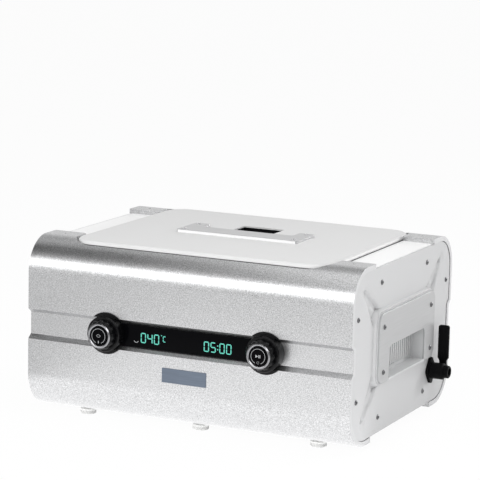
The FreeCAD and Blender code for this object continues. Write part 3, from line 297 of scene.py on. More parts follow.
@dataclass(frozen=True)
class Glow(Finish):
    """Lit segments or marks behind a dark window, and printed knob marks given a painted glow."""

    strength: float = 1.0
    unlit: float = 0.02
    dimmest: float = 0.92
    brightest: float = 1.05

    def make(self) -> bpy.types.Material:
        """Build the material."""
        graph = Graph(self.name)
        fine = graph.noise(self.grain)
        glow = graph.mix(fine, scaled(self.colour, self.dimmest), scaled(self.colour, self.brightest))
        graph.set(Base_Color=grey(self.unlit), Roughness=self.roughness)
        graph.set(Emission_Color=glow, Emission_Strength=self.strength)
        return graph.material


class Look(Enum):
    """Every finish on the object."""

    SHELL = Blasted("shell_blasted", (0.50, 0.502, 0.508), 0.30, 1.0, 720.0, 0.34, 0.65, 0.08 * MM)
    RIM = Finish("shell_cut_end", (0.60, 0.602, 0.608), 0.40, 0.4, relief=0.1, variation=0.03)
    PANEL = Finish("panel_coat", (0.56, 0.562, 0.568), 0.45, relief=0.06, variation=0.015, specular=0.3)
    LID = Finish("lid_coat", (0.64, 0.64, 0.64), 0.40, relief=0.04, variation=0.012, specular=0.3)
    DECK = Finish("deck_coat", (0.86, 0.86, 0.86), 0.40, relief=0.04, variation=0.012, specular=0.3)
    PLATE = Finish("plate_brushed", (0.45, 0.452, 0.457), 0.36, 0.5, 700.0, stretch=(1.0, 0.03, 1.0))
    HANDLE = Finish("handle_brushed", (0.46, 0.46, 0.465), 0.36, 0.4, 700.0, stretch=(0.03, 1.0, 1.0))
    # painted highlight: a near-white, non-metal copy of the brushed handle for its faces that look along Y,
    # standing in for their lit look
    HANDLE_SIDE_HIGHLIGHT = Finish("handle_side_painted_highlight", (0.90, 0.90, 0.90), 0.36, 0.0, variation=0.02, relief=0.05)
    STEEL = Finish("steel_brushed", (0.60, 0.60, 0.61), 0.28, 1.0, 500.0, stretch=(0.04, 0.04, 1.0))
    DARK_STEEL = Finish("screw_dark", (0.16, 0.16, 0.165), 0.33, 1.0, variation=0.1)
    BRIGHT_STEEL = Finish("screw_bright", (0.66, 0.66, 0.67), 0.25, 1.0, variation=0.05)
    GLOSS_BLACK = Finish("window_gloss", (0.0015, 0.0015, 0.002), 0.12, relief=0.01, variation=0.1,
                         specular=0.03)
    KNOB_BLACK = Finish("knob_black", (0.003, 0.003, 0.0035), 0.22, relief=0.05, variation=0.2, specular=0.16)
    MATT_BLACK = Finish("moulded_black", (0.0035, 0.0035, 0.004), 0.45, relief=0.1, variation=0.2,
                        specular=0.06)
    CUP = Finish("cup_grey", (0.58, 0.585, 0.59), 0.45, relief=0.1, variation=0.02, specular=0.3)
    WHITE = Finish("foot_white", (0.80, 0.80, 0.79), 0.5, relief=0.1, variation=0.02)
    CHROME = Finish("trim_chrome", (0.24, 0.24, 0.25), 0.16, 1.0, relief=0.02, variation=0.03)
    BADGE = Finish("badge_slate", (0.10, 0.125, 0.165), 0.42, 0.2, 900.0, 0.12, stretch=(0.03, 1.0, 1.0))
    RUBBER = Finish("seal_rubber", (0.03, 0.03, 0.03), 0.7)
    BOARD = Finish("board_green", (0.02, 0.12, 0.05), 0.4, variation=0.2)
    CERAMIC = Finish("ceramic_tan", (0.5, 0.4, 0.28), 0.6)
    HEATER = Finish("heater_orange", (0.5, 0.16, 0.04), 0.6)
    CAST = Finish("cast_aluminium", (0.55, 0.56, 0.57), 0.4, 0.9)
    TEAL = Glow("segments_teal", (0.10, 0.66, 0.52), 0.3)
    # glows as a lit sign behind the display window, and as painted light on the printed knob marks
    MARK = Glow("marks_white_lit_and_painted_glow", (0.80, 0.82, 0.84), 0.3, strength=0.55)

    def material(self) -> bpy.types.Material:
        """The finish's material, made once."""
        return bpy.data.materials.get(self.value.name) or self.value.make()


# ---------------------------------------------------------------- mesh kit


FACING_FRONT = Matrix(((1, 0, 0, 0), (0, 0, -1, 0), (0, 1, 0, 0), (0, 0, 0, 1)))
FACING_RIGHT = Matrix(((0, 0, 1, 0), (1, 0, 0, 0), (0, 1, 0, 0), (0, 0, 0, 1)))
FACING_LEFT = Matrix(((0, 0, -1, 0), (-1, 0, 0, 0), (0, 1, 0, 0), (0, 0, 0, 1)))


def on(turn: Matrix, x: float, y: float, z: float) -> Matrix:
    """A local frame with a given turn, at a place."""
    return Matrix.Translation((x, y, z)) @ turn


def circle_points(radius: float, count: int, start: float = 0.0, sweep: float = math.tau) -> list[Point2]:
    """Points on a circle, or on an arc with both of its ends."""
    spans = count if sweep >= math.tau else count - 1
    angles = [start + sweep * i / spans for i in range(count)]
    return [(radius * math.cos(a), radius * math.sin(a)) for a in angles]


def rounded_points(half_x: float, half_y: float, radius: float, steps: int = 9) -> list[Point2]:
    """A rounded rectangle about the origin, anticlockwise."""
    points = []
    for quarter, (sx, sy) in enumerate(((1, 1), (-1, 1), (-1, -1), (1, -1))):
        arc = circle_points(radius, steps, quarter * math.pi / 2, math.pi / 2)
        points += [(sx * (half_x - radius) + x, sy * (half_y - radius) + y) for x, y in arc]
    return points


def bar_points(a: Point2, b: Point2, width: float) -> list[Point2]:
    """A bar from a to b with pointed ends, anticlockwise, as in a lit segment."""
    run = Vector(b) - Vector(a)
    ahead = run.normalized() * width / 2
    side = Vector((-ahead.y, ahead.x))
    start, end = Vector(a), Vector(b)
    below = [start, start + ahead - side, end - ahead - side]
    above = [end, end - ahead + side, start + ahead + side]
    return [tuple(c) for c in below + above]


class Piece:
    """A mesh in the making, in a local frame."""

    def __init__(self, name: str, place: Matrix | None = None) -> None:
        """Start an empty piece.

        Args:
            name: the object's name.
            place: the local frame that its parts are given in.
        """
        self.name = name
        self.place = place or Matrix.Identity(4)
        self.mesh = bmesh.new()

    def prism(self, outline: Sequence[Point2], low: float, high: float) -> Piece:
        """Add a closed prism from an anticlockwise outline."""
        bottom = [self.mesh.verts.new((x, y, low)) for x, y in outline]
        top = [self.mesh.verts.new((x, y, high)) for x, y in outline]
        self.mesh.faces.new(bottom[::-1])
        self.mesh.faces.new(top)
        for i in range(len(outline)):
            j = (i + 1) % len(outline)
            self.mesh.faces.new((bottom[i], bottom[j], top[j], top[i]))
        return self

    def band(self, outer: Sequence[Point2], inner: Sequence[Point2], low: float, high: float) -> Piece:
        """Add a closed band between two outlines with the same number of points."""
        for i in range(len(outer)):
            j = (i + 1) % len(outer)
            self.prism([outer[i], outer[j], inner[j], inner[i]], low, high)
        return self

    def arc_band(self, radius: float, width: float, low: float, high: float,
                 start: float, sweep: float) -> Piece:
        """Add a flat curved bar along an arc."""
        count = max(6, int(sweep / ARC_STEP))
        outer = circle_points(radius + width / 2, count, start, sweep)
        inner = circle_points(radius - width / 2, count, start, sweep)
        for i in range(count - 1):
            self.prism([inner[i], outer[i], outer[i + 1], inner[i + 1]], low, high)
        return self

    def lathe(self, profile: Sequence[Point2], steps: int = 72, closed: bool = False,
              shape: Callable[[float, float, float], float] | None = None) -> Piece:
        """Turn a profile of (radius, height) points about the local Z axis.

        Args:
            profile: the points in order; a radius of 0 becomes a pole.
            steps: how many spans go round.
            closed: whether the last point joins the first.
            shape: an optional change of radius, from radius, height and angle.

        Returns:
            The piece.
        """
        rings = []
        angles = [math.tau * i / steps for i in range(steps)]
        for radius, height in profile:
            if radius < SAME_POINT:
                rings.append([self.mesh.verts.new((0, 0, height))])
                continue
            ring = []
            for angle in angles:
                r = shape(radius, height, angle) if shape else radius
                ring.append(self.mesh.verts.new((r * math.cos(angle), r * math.sin(angle), height)))
            rings.append(ring)
        pairs = list(zip(rings, rings[1:])) + ([(rings[-1], rings[0])] if closed else [])
        for near, far in pairs:
            for i in range(steps):
                j = (i + 1) % steps
                corners = (near[i % len(near)], far[i % len(far)], far[j % len(far)], near[j % len(near)])
                self.mesh.faces.new(list(dict.fromkeys(corners)))
        return self

    def done(self, look: Look, bevel: float = 0.0, smooth: float = 35.0) -> bpy.types.Object:
        """Merge, face outwards, put in place, bevel, smooth and dress the piece.

        Args:
            look: the finish.
            bevel: the width of the broken edges.
            smooth: the angle in degrees under which neighbouring faces shade as one.

        Returns:
            The object, linked to the scene.
        """
        bmesh.ops.remove_doubles(self.mesh, verts=self.mesh.verts, dist=SAME_POINT)
        bmesh.ops.recalc_face_normals(self.mesh, faces=self.mesh.faces)
        self.mesh.transform(self.place)
        return finish_mesh(self.mesh, self.name, look, bevel, smooth)


def shown_object(name: str, data: bpy.types.ID) -> bpy.types.Object:
    """A new object of a mesh, lamp or camera, linked to the scene."""
    made = bpy.data.objects.new(name, data)
    bpy.context.scene.collection.objects.link(made)
    return made


def finish_mesh(mesh: bmesh.types.BMesh, name: str, look: Look, bevel: float = 0.0,
                smooth: float = 35.0) -> bpy.types.Object:
    """Make an object of a bmesh, with broken edges, smooth shading and a finish.

    Args:
        mesh: the mesh in the making, which is freed.
        name: the object's name.
        look: the finish.
        bevel: the width of the broken edges.
        smooth: the angle in degrees under which neighbouring faces shade as one.

    Returns:
        The object, linked to the scene.
    """
    if bevel:
        inner = [e for e in mesh.edges if len(e.link_faces) == 2]
        bmesh.ops.bevel(
            mesh, geom=[e for e in inner if e.calc_face_angle(0) > EDGE_ANGLE], offset=bevel,
            offset_type="OFFSET", segments=2, profile=0.5, affect="EDGES", clamp_overlap=True,
        )
    for face in mesh.faces:
        face.smooth = True
    for edge in mesh.edges:
        if len(edge.link_faces) == 2:
            edge.smooth = edge.calc_face_angle(0) < math.radians(smooth)
    data = bpy.data.meshes.new(name)
    mesh.to_mesh(data)
    mesh.free()
    data.materials.append(look.material())
    made = shown_object(name, data)
    made.modifiers.new("even_normals", "WEIGHTED_NORMAL").keep_sharp = True
    return made


def settle(piece: bpy.types.Object, body: str, slot: str, *nodes: str) -> bpy.types.Object:
    """Make a piece ride on a body and let it stand for CAD nodes."""
    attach(piece, body)
    if nodes:
        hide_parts(*nodes)
    LOG.info("%s: %d faces on %s", piece.name, len(piece.data.polygons), body)
    return piece


def merged(node: str) -> bmesh.types.BMesh:
    """A CAD node's mesh with its loose triangles joined."""
    mesh = bmesh.new()
    mesh.from_mesh(FRAME["nodes"][node].data)
    bmesh.ops.remove_doubles(mesh, verts=mesh.verts, dist=WELD_GAP)
    return mesh


def body_of(node: str) -> str:
    """The body that a node rides on."""
    return FRAME["nodes"][node]["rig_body"]


def refined(node: str, look: Look, bevel: float = 0.3 * MM, smooth: float = 30.0,
            rim: tuple[Look, Sequence[float]] | None = None,
            press: Callable[[bmesh.types.BMesh], None] | None = None) -> bpy.types.Object:
    """A finer copy of a CAD node, which it stands for.

    Args:
        node: the node's name.
        look: the finish.
        bevel: the width of the broken edges.
        smooth: the angle in degrees under which neighbouring faces shade as one.
        rim: another finish, for the faces that look along an axis, and that axis.
        press: an optional change to the mesh before its edges are broken.

    Returns:
        The copy.
    """
    mesh = merged(node)
    bmesh.ops.dissolve_limit(mesh, angle_limit=FLAT_ANGLE, verts=mesh.verts, edges=mesh.edges)
    if press:
        press(mesh)
    made = finish_mesh(mesh, node + "_fine", look, bevel, smooth)
    if rim:
        made.data.materials.append(rim[0].material())
        for face in made.data.polygons:
            if abs(face.normal.dot(rim[1])) > 0.95:
                face.material_index = 1
    return settle(made, body_of(node), SLOTS[node], node)


def dressed(node: str, look: Look) -> None:
    """Give a CAD node its finish as it is."""
    data = FRAME["nodes"][node].data
    data.materials.clear()
    data.materials.append(look.material())
    LOG.info("%s: dressed", node)


def islands(node: str) -> list[tuple[Vector, Vector]]:
    """The boxes of a node's separate solids."""
    mesh = merged(node)
    mesh.verts.ensure_lookup_table()
    seen: set[int] = set()
    boxes = []
    for start in mesh.verts:
        if start.index in seen:
            continue
        seen.add(start.index)
        group, queue = [], [start]
        while queue:
            vertex = queue.pop()
            group.append(vertex.co.copy())
            for edge in vertex.link_edges:
                other = edge.other_vert(vertex)
                if other.index not in seen:
                    seen.add(other.index)
                    queue.append(other)
        boxes.append((Vector(map(min, *group)), Vector(map(max, *group))))
    mesh.free()
    return boxes


# ---------------------------------------------------------------- repeats


class Scatter(Tree):
    """A geometry node tree that sets a template on every point, turned one way and spun at random."""

    def __init__(self) -> None:
        """Build the tree with its named inputs."""
        self.tree = bpy.data.node_groups.new("scatter", "GeometryNodeTree")
        face = self.tree.interface
        face.new_socket("Points", in_out="INPUT", socket_type="NodeSocketGeometry")
        self.inputs = {
            name: face.new_socket(name, in_out="INPUT", socket_type="NodeSocket" + kind).identifier
            for name, kind in (("Template", "Object"), ("Turn", "Vector"), ("Spin", "Float"),
                               ("Seed", "Int"), ("Finish", "Material"))
        }
        face.new_socket("Geometry", in_out="OUTPUT", socket_type="NodeSocketGeometry")
        start = self.node("NodeGroupInput").outputs
        info = self.node("GeometryNodeObjectInfo", {}, {"Object": start["Template"]})
        spin = self.node("FunctionNodeRandomValue", {"data_type": "FLOAT"},
                         {3: start["Spin"], "Seed": start["Seed"]})
        turn = self.node("FunctionNodeEulerToRotation", {}, {0: start["Turn"]})
        about = self.node("FunctionNodeAxisAngleToRotation", {},
                          {"Axis": (0, 0, 1), "Angle": spin.outputs[1]})
        both = self.node("FunctionNodeRotateRotation", {"rotation_space": "LOCAL"},
                         {0: turn.outputs[0], 1: about.outputs[0]})
        placed = self.node("GeometryNodeInstanceOnPoints", {}, {
            "Points": start["Points"], "Instance": info.outputs["Geometry"], "Rotation": both.outputs[0]})
        real = self.node("GeometryNodeRealizeInstances", {}, {0: placed.outputs[0]})
        finished = self.node("GeometryNodeSetMaterial", {},
                             {"Geometry": real.outputs[0], "Material": start["Finish"]})
        self.node("NodeGroupOutput", {}, {0: finished.outputs[0]})

    def run(self, name: str, template: bpy.types.Object, places: Iterable[Vector], turn: Matrix,
            look: Look, spin: float = math.tau, seed: int = 7) -> bpy.types.Object:
        """Set the template on every place and return one plain mesh.

        Args:
            name: the new object's name.
            template: the piece to repeat, with Z outwards; it is removed afterwards.
            places: where each copy's origin goes.
            turn: the common turn.
            look: the finish.
            spin: the largest random angle about each copy's own Z axis.
            seed: the fixed seed of the random angles.

        Returns:
            The new object, at the origin.
        """
        points = bpy.data.meshes.new(name + "_points")
        points.from_pydata([tuple(p) for p in places], [], [])
        host = shown_object(name + "_host", points)
        modifier = host.modifiers.new("scatter", "NODES")
        modifier.node_group = self.tree
        values = {
            "Template": template, "Turn": tuple(turn.to_euler()), "Spin": spin, "Seed": seed,
            "Finish": look.material(),
        }
        for key, value in values.items():
            modifier[self.inputs[key]] = value
        graph = bpy.context.evaluated_depsgraph_get()
        data = bpy.data.meshes.new_from_object(host.evaluated_get(graph))
        data.name = name
        made = shown_object(name, data)
        bpy.data.objects.remove(host)
        bpy.data.objects.remove(template)
        return made


# ---------------------------------------------------------------- sub-assemblies


@dataclass(frozen=True)
class Fasteners:
    """Button-head screws with a hexagon socket, each socket filled with a black prism that paints its shade.
    """

    head: float = 3.4 * MM
    rise: float = 1.6 * MM
    shank: float = 1.9 * MM
    length: float = 4.0 * MM
    socket: float = 1.7 * MM
    deep: float = 1.0 * MM
    mouth: float = 0.1 * MM
    shade_drop: float = 0.25 * MM
    crown: float = 0.45
    sides: int = 6

    def template(self, flat: bool) -> bpy.types.Object:
        """One screw, seated at the origin, with a domed or a flat head."""
        crown = 0.0 if flat else self.crown * self.rise
        socket, rise = self.socket, self.rise
        profile = [
            (0.0, -self.length), (self.shank, -self.length), (self.shank, 0.0), (self.head, 0.0),
            (self.head, (rise - crown) * 0.75), (self.head * 0.9, rise - crown * 0.7),
            (self.head * 0.62, rise), (socket * 1.12, rise), (socket, rise - self.mouth),
            (socket, rise - self.deep), (0.0, rise - self.deep * 1.25),
        ]
        flat_half = math.pi / self.sides

        def hexagon(radius: float, height: float, angle: float) -> float:
            """Draw the socket's wall in to its flats."""
            if radius > socket * 1.01 or height <= 0:
                return radius
            return radius * (math.cos(flat_half) / math.cos(angle % (2 * flat_half) - flat_half))

        steps = 4 * self.sides
        return Piece("screw_template").lathe(profile, steps, shape=hexagon).done(Look.BRIGHT_STEEL)

    def socket_shade(self) -> bpy.types.Object:
        """A black prism that fills most of a socket: painted shade for the recess."""
        outline = circle_points(self.socket * 0.97, self.sides)
        socket_shade = Piece("socket_template").prism(outline, self.mouth, self.rise - self.shade_drop)
        return socket_shade.done(Look.MATT_BLACK)

    def build(self, scatter: Scatter, node: str, turn: Matrix, look: Look, flat: bool = False) -> None:
        """Set a screw on every solid of a node.

        Args:
            scatter: the tree that repeats the screw.
            node: the CAD node that the screws stand for.
            turn: the turn that points the screw's Z axis outwards.
            look: the finish.
            flat: whether the heads are flat.
        """
        out = turn.to_3x3() @ Vector((0, 0, 1))
        seats = []
        for low, high in islands(node):
            centre, half = (low + high) / 2, (high - low) / 2
            top = centre + Vector(tuple(o * h for o, h in zip(out, half)))
            seats.append(top - out * self.rise)
        made = scatter.run(node + "_fine", self.template(flat), seats, turn, look)
        settle(made, body_of(node), SLOTS[node], node)
        # painted shade: a black prism in each socket stands for the shade in the recess
        dark = scatter.run(node + "_sockets", self.socket_shade(), seats, turn, Look.MATT_BLACK)
        settle(dark, body_of(node), "black_matte")


@dataclass(frozen=True)
class SidePanel:
    """One pressed side panel with its grooves, hand cup, plate and screws."""

    side: str
    sign: int
    groove_inner: float = 16 * MM
    groove_outer: float = 10 * MM
    groove_deep: float = 4.5 * MM
    groove_fade: float = 0.55
    sheet: float = 2.0 * MM
    boss_rise: float = 3 * MM
    flute_deep: float = 1.6 * MM
    flatness: float = 0.05 * MM
    start_inset: float = 4 * MM
    end_inset_y: float = 35 * MM
    end_drop: float = 24 * MM
    grid: float = 2.6 * MM
    cut_snap: float = 1e-6

    def grooves(self) -> list[tuple[Vector, Vector]]:
        """The start and end of each groove in Y and Z, from the plate's corners towards the panel's."""
        plate_low, plate_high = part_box(f"{self.side}_grip_plate")
        low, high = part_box(f"{self.side}_panel")
        found = []
        for back in (False, True):
            for top in (False, True):
                if self.sign > 0 and back and not top:
                    continue
                start = Vector((
                    plate_high[1] - self.start_inset if back else plate_low[1] + self.start_inset,
                    plate_high[2] - self.start_inset if top else plate_low[2] + self.start_inset,
                ))
                end = Vector((
                    high[1] - self.end_inset_y if back else low[1] + self.end_inset_y,
                    high[2] - self.end_drop if top else low[2] + self.end_drop,
                ))
                found.append((start, end))
        return found

    def depth_at(self, y: float, z: float, grooves: Iterable[tuple[Vector, Vector]]) -> float:
        """How deep the grooves are at a point of the panel."""
        deepest = 0.0
        for start, end in grooves:
            run = end - start
            share = max(0.0, min(1.0, (Vector((y, z)) - start).dot(run) / run.length_squared))
            radius = self.groove_inner + (self.groove_outer - self.groove_inner) * share
            away = (Vector((y, z)) - start - run * share).length / radius
            if away < 1:
                fade = 1.0 - self.groove_fade * share
                deepest = max(deepest, self.groove_deep * fade * (1 - away * away))
        return deepest

    def press(self, mesh: bmesh.types.BMesh) -> None:
        """Press the grooves into both skins of the sheet."""
        low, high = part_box(f"{self.side}_panel")
        outer = (high[0] if self.sign > 0 else low[0]) - self.sign * self.boss_rise
        grooves = self.grooves()
        for skin in (outer, outer - self.sign * self.sheet):
            self.press_skin(mesh, skin, grooves)

    def press_skin(self, mesh: bmesh.types.BMesh, level: float,
                   grooves: Iterable[tuple[Vector, Vector]]) -> None:
        """Grid and press one skin of the sheet.

        Args:
            mesh: the panel's mesh.
            level: the skin's X away from the grooves.
            grooves: the start and end of each groove.
        """

        def on_skin(vertex: bmesh.types.BMVert) -> bool:
            """Whether a vertex is on this skin, shallow grooves included."""
            return -self.flute_deep < (vertex.co.x - level) * self.sign < self.flatness

        def cut(faces: list[bmesh.types.BMFace], index: int, at: float) -> list[bmesh.types.BMFace]:
            """Cut faces along a line of constant Y (1) or Z (2)."""
            axis = Vector((0, 1, 0) if index == 1 else (0, 0, 1))
            parts = {e for f in faces for e in f.edges} | {v for f in faces for v in f.verts}
            done = bmesh.ops.bisect_plane(
                mesh, geom=[*faces, *parts], dist=self.cut_snap, plane_co=axis * at, plane_no=axis)
            return [g for g in done["geom"] if isinstance(g, bmesh.types.BMFace)]

        for start, end in grooves:
            near = Vector(map(min, start, end)) - Vector((1, 1)) * self.groove_inner
            far = Vector(map(max, start, end)) + Vector((1, 1)) * self.groove_inner
            skin = [f for f in mesh.faces if all(map(on_skin, f.verts))]
            for index in (1, 2):
                for at in (near[index - 1], far[index - 1]):
                    skin = cut(skin, index, at)
            zone = [f for f in skin if near[0] < f.calc_center_median().y < far[0]
                    and near[1] < f.calc_center_median().z < far[1]]
            for index in (1, 2):
                lines = int((far[index - 1] - near[index - 1]) / self.grid)
                for line in range(1, lines + 1):
                    zone = cut(zone, index, near[index - 1] + line * self.grid)
        for vertex in filter(on_skin, mesh.verts):
            vertex.co.x = level - self.sign * self.depth_at(vertex.co.y, vertex.co.z, grooves)

    def build(self, scatter: Scatter, screws: Fasteners) -> None:
        """Build the panel and what it carries."""
        turn = FACING_RIGHT if self.sign > 0 else FACING_LEFT
        refined(f"{self.side}_panel", Look.PANEL, 0.0, 24.0, press=self.press)
        refined(f"{self.side}_grip_cup", Look.CUP, 0.3 * MM)
        refined(f"{self.side}_grip_plate", Look.PLATE, 0.35 * MM)
        screws.build(scatter, f"{self.side}_panel_screws", turn, Look.DARK_STEEL)
        screws.build(scatter, f"{self.side}_grip_screws", turn, Look.DARK_STEEL)


@dataclass(frozen=True)
class Case:
    """Shells, deck, base and feet."""

    def build(self, scatter: Scatter, screws: Fasteners) -> None:
        """Build the case."""
        for node in ("front_shell", "rear_shell"):
            refined(node, Look.SHELL, 0.4 * MM, 24.0, rim=(Look.RIM, (1, 0, 0)))
        refined("deck", Look.DECK, 0.3 * MM)
        refined("base_plate", Look.PANEL, 0.2 * MM)
        refined("feet", Look.WHITE, 0.7 * MM)
        screws.build(scatter, "flange_screws", Matrix.Identity(4), Look.BRIGHT_STEEL, flat=True)
        for side, sign in (("left", -1), ("right", 1)):
            SidePanel(side, sign).build(scatter, screws)


@dataclass(frozen=True)
class Lid:
    """Lid with its finger cup, handle, liner, and a thin black strip round its foot that paints the shadow
    gap to the deck.
    """

    corner: float = 32 * MM
    shade_line_out: float = 0.9 * MM
    shade_line_in: float = 0.4 * MM
    shade_line_low: float = 0.1 * MM
    shade_line_high: float = 0.9 * MM

    def shade_line(self) -> None:
        """A thin black strip round the lid's foot: painted shade for the shadow gap between lid and deck."""
        low, high = map(Vector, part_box("lid_cover"))
        centre, half = (low + high) / 2, (high - low) / 2
        outer, inner = (
            rounded_points(half.x + grow, half.y + grow, self.corner + grow)
            for grow in (self.shade_line_out, -self.shade_line_in)
        )
        # painted shade: this black strip stands in for the shadow gap under the lid's edge
        shade_line = Piece("lid_lip", Matrix.Translation((centre.x, centre.y, low.z)))
        shade_line.band(outer, inner, self.shade_line_low, self.shade_line_high)
        settle(shade_line.done(Look.RUBBER), "lid", "seal_rubber")

    def build(self, scatter: Scatter, screws: Fasteners) -> None:
        """Build the lid."""
        self.shade_line()
        refined("lid_cover", Look.LID, 0.2 * MM, 40.0)
        refined("lid_finger_cup", Look.MATT_BLACK, 0.4 * MM)
        # the handle's faces that look along Y take the painted highlight finish
        refined("lid_handle", Look.HANDLE, 0.3 * MM, rim=(Look.HANDLE_SIDE_HIGHLIGHT, (0, 1, 0)))
        refined("lid_liner", Look.STEEL, 0.1 * MM)
        Fasteners(rise=0.8 * MM, socket=1.2 * MM, deep=0.6 * MM).build(
            scatter, "lid_handle_screws", Matrix.Identity(4), Look.BRIGHT_STEEL, flat=True)


class Mark(Enum):
    """What is printed in the middle of a knob's cap."""

    HEAT = "oval with a short bar under it"
    RUN = "triangle and two bars, with a small ring under them"


@dataclass(frozen=True)
class Knob:
    """One control: fixed bezel, turning ring with chrome trim, and a push cap with printed marks."""

    side: str
    mark: Mark
    lobes: int = 12
    lobe_deep: float = 1.5 * MM
    lobe_reach: float = 2.0 * MM
    lobe_power: float = 1.6
    ring_outer: float = 19.5 * MM
    ring_bore: float = 14.05 * MM
    ring_back: float = 17.3 * MM
    ring_front: float = 27.4 * MM
    ring_break: float = 1.0 * MM
    trim_inner: float = 13.1 * MM
    trim_outer: float = 16.3 * MM
    trim_back: float = 27.45 * MM
    cap_radius: float = 12.6 * MM
    cap_back: float = 19.9 * MM
    cap_front: float = 28.82 * MM
    cap_dish: float = 0.12 * MM
    stem_radius: float = 1.98 * MM
    stem_end: float = -9.5 * MM
    print_low: float = 28.6 * MM
    print_high: float = 28.8 * MM
    line_radius: float = 9.6 * MM
    line_width: float = 0.55 * MM
    line_gap: float = 0.42

    # steps inwards from the outer radius, and away from the front (trim: back) face, in millimetres
    RIM_STEPS = ((0.0, 4.0), (0.4, 3.0), (1.5, 1.8), (2.0, 0.8), (2.9, 0.0))
    TRIM_STEPS = ((0.0, 0.0), (0.05, 0.35), (1.1, 0.95), (1.4, 1.3), (2.0, 1.35), (2.8, 0.75), (3.2, 0.55))
    CAP_STEPS = ((0.0, 0.72), (0.25, 0.22), (0.8, 0.0), (1.6, 0.07))

    def frame(self) -> Matrix:
        """The knob's frame: Z out of the front, zero at the band's floor."""
        low, high = map(Vector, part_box(f"{self.side}_knob_cap"))
        centre = (low + high) / 2
        return on(FACING_FRONT, centre.x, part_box("display_window")[1][1], centre.z)

    def build(self) -> None:
        """Build the knob."""
        refined(f"{self.side}_knob_bezel", Look.KNOB_BLACK, 0.4 * MM)
        self.ring()
        self.trim()
        self.cap()
        self.marks()

    def turned(self, part: str, profile: Sequence[Point2], look: Look, smooth: float, steps: int,
               closed: bool = False, shape: Callable[[float, float, float], float] | None = None) -> None:
        """Turn one part of the knob, which stands for its CAD node.

        Args:
            part: the node's name without the knob's side.
            profile: the points of radius and height.
            look: the finish.
            smooth: the angle in degrees under which neighbouring faces shade as one.
            steps: how many spans go round.
            closed: whether the last point joins the first.
            shape: an optional change of radius.
        """
        node = f"{self.side}_knob_{part}"
        made = Piece(node + "_fine", self.frame()).lathe(profile, steps, closed, shape)
        settle(made.done(look, smooth=smooth), body_of(node), SLOTS[node], node)

    def ring(self) -> None:
        """The scalloped ring, with a stepped front face."""
        r, bore, back, front = self.ring_outer, self.ring_bore, self.ring_back, self.ring_front
        profile = [(bore, back), (r - self.ring_break, back), (r, back + self.ring_break)]
        profile += [(r - step * MM, front - drop * MM) for step, drop in self.RIM_STEPS]
        profile.append((bore, front))
        root = bore + self.lobe_reach

        def scallop(radius: float, height: float, angle: float) -> float:
            """Hollow the rim between its lobes."""
            share = max(0.0, (radius - root) / (r - root))
            wave = 0.5 - 0.5 * math.cos(self.lobes * angle)
            return radius - self.lobe_deep * share * wave**self.lobe_power

        self.turned("ring", profile, Look.KNOB_BLACK, 28, 144, True, scallop)

    def trim(self) -> None:
        """The chrome ring, with two bevels."""
        outer, back = self.trim_outer, self.trim_back
        profile = [(self.trim_inner, back)]
        profile += [(outer - step * MM, back + rise * MM) for step, rise in self.TRIM_STEPS]
        self.turned("trim", profile, Look.CHROME, 50, 96, True)

    def cap(self) -> None:
        """The push cap with a soft edge and a shallow dish, on its stem."""
        stem, r, back, front = self.stem_radius, self.cap_radius, self.cap_back, self.cap_front
        profile = [(0.0, self.stem_end), (stem, self.stem_end), (stem, back), (r, back)]
        profile += [(r - step * MM, front - drop * MM) for step, drop in self.CAP_STEPS]
        profile.append((0.0, front - self.cap_dish))
        self.turned("cap", profile, Look.GLOSS_BLACK, 40, 72)

    def marks(self) -> None:
        """The printed ring, open at the bottom, and the mark in the middle, which glow as painted light."""
        low, high = self.print_low, self.print_high
        piece = Piece(f"{self.side}_knob_marks", self.frame())
        open_half = self.line_gap
        piece.arc_band(self.line_radius, self.line_width, low, high,
                       open_half - math.pi / 2, math.tau - 2 * open_half)
        if self.mark is Mark.HEAT:
            oval = [(2.7 * MM * x, 0.3 * MM + 1.6 * MM * y) for x, y in circle_points(1.0, 20)]
            for a, b in zip(oval, oval[1:] + oval[:1]):
                piece.prism(bar_points(a, b, 0.8 * MM), low, high)
            piece.prism(bar_points((0, -6.0 * MM), (0, -9.6 * MM), 1.1 * MM), low, high)
        else:
            foot, head = -1.8 * MM, 2.0 * MM
            piece.prism([(-3.4 * MM, foot), (0.2 * MM, 0.1 * MM), (-3.4 * MM, head)], low, high)
            for left, right in ((0.7 * MM, 1.7 * MM), (2.3 * MM, 3.3 * MM)):
                piece.prism([(left, foot), (right, foot), (right, head), (left, head)], low, high)
            ring = [(x, y - 8.0 * MM) for x, y in circle_points(1.5 * MM, 13)]
            for a, b in zip(ring, ring[1:]):
                piece.prism(bar_points(a, b, 0.45 * MM), low, high)
        # painted light: the printed marks glow, though no lamp lights them
        settle(piece.done(Look.MARK), body_of(f"{self.side}_knob_cap"), "white_plastic")


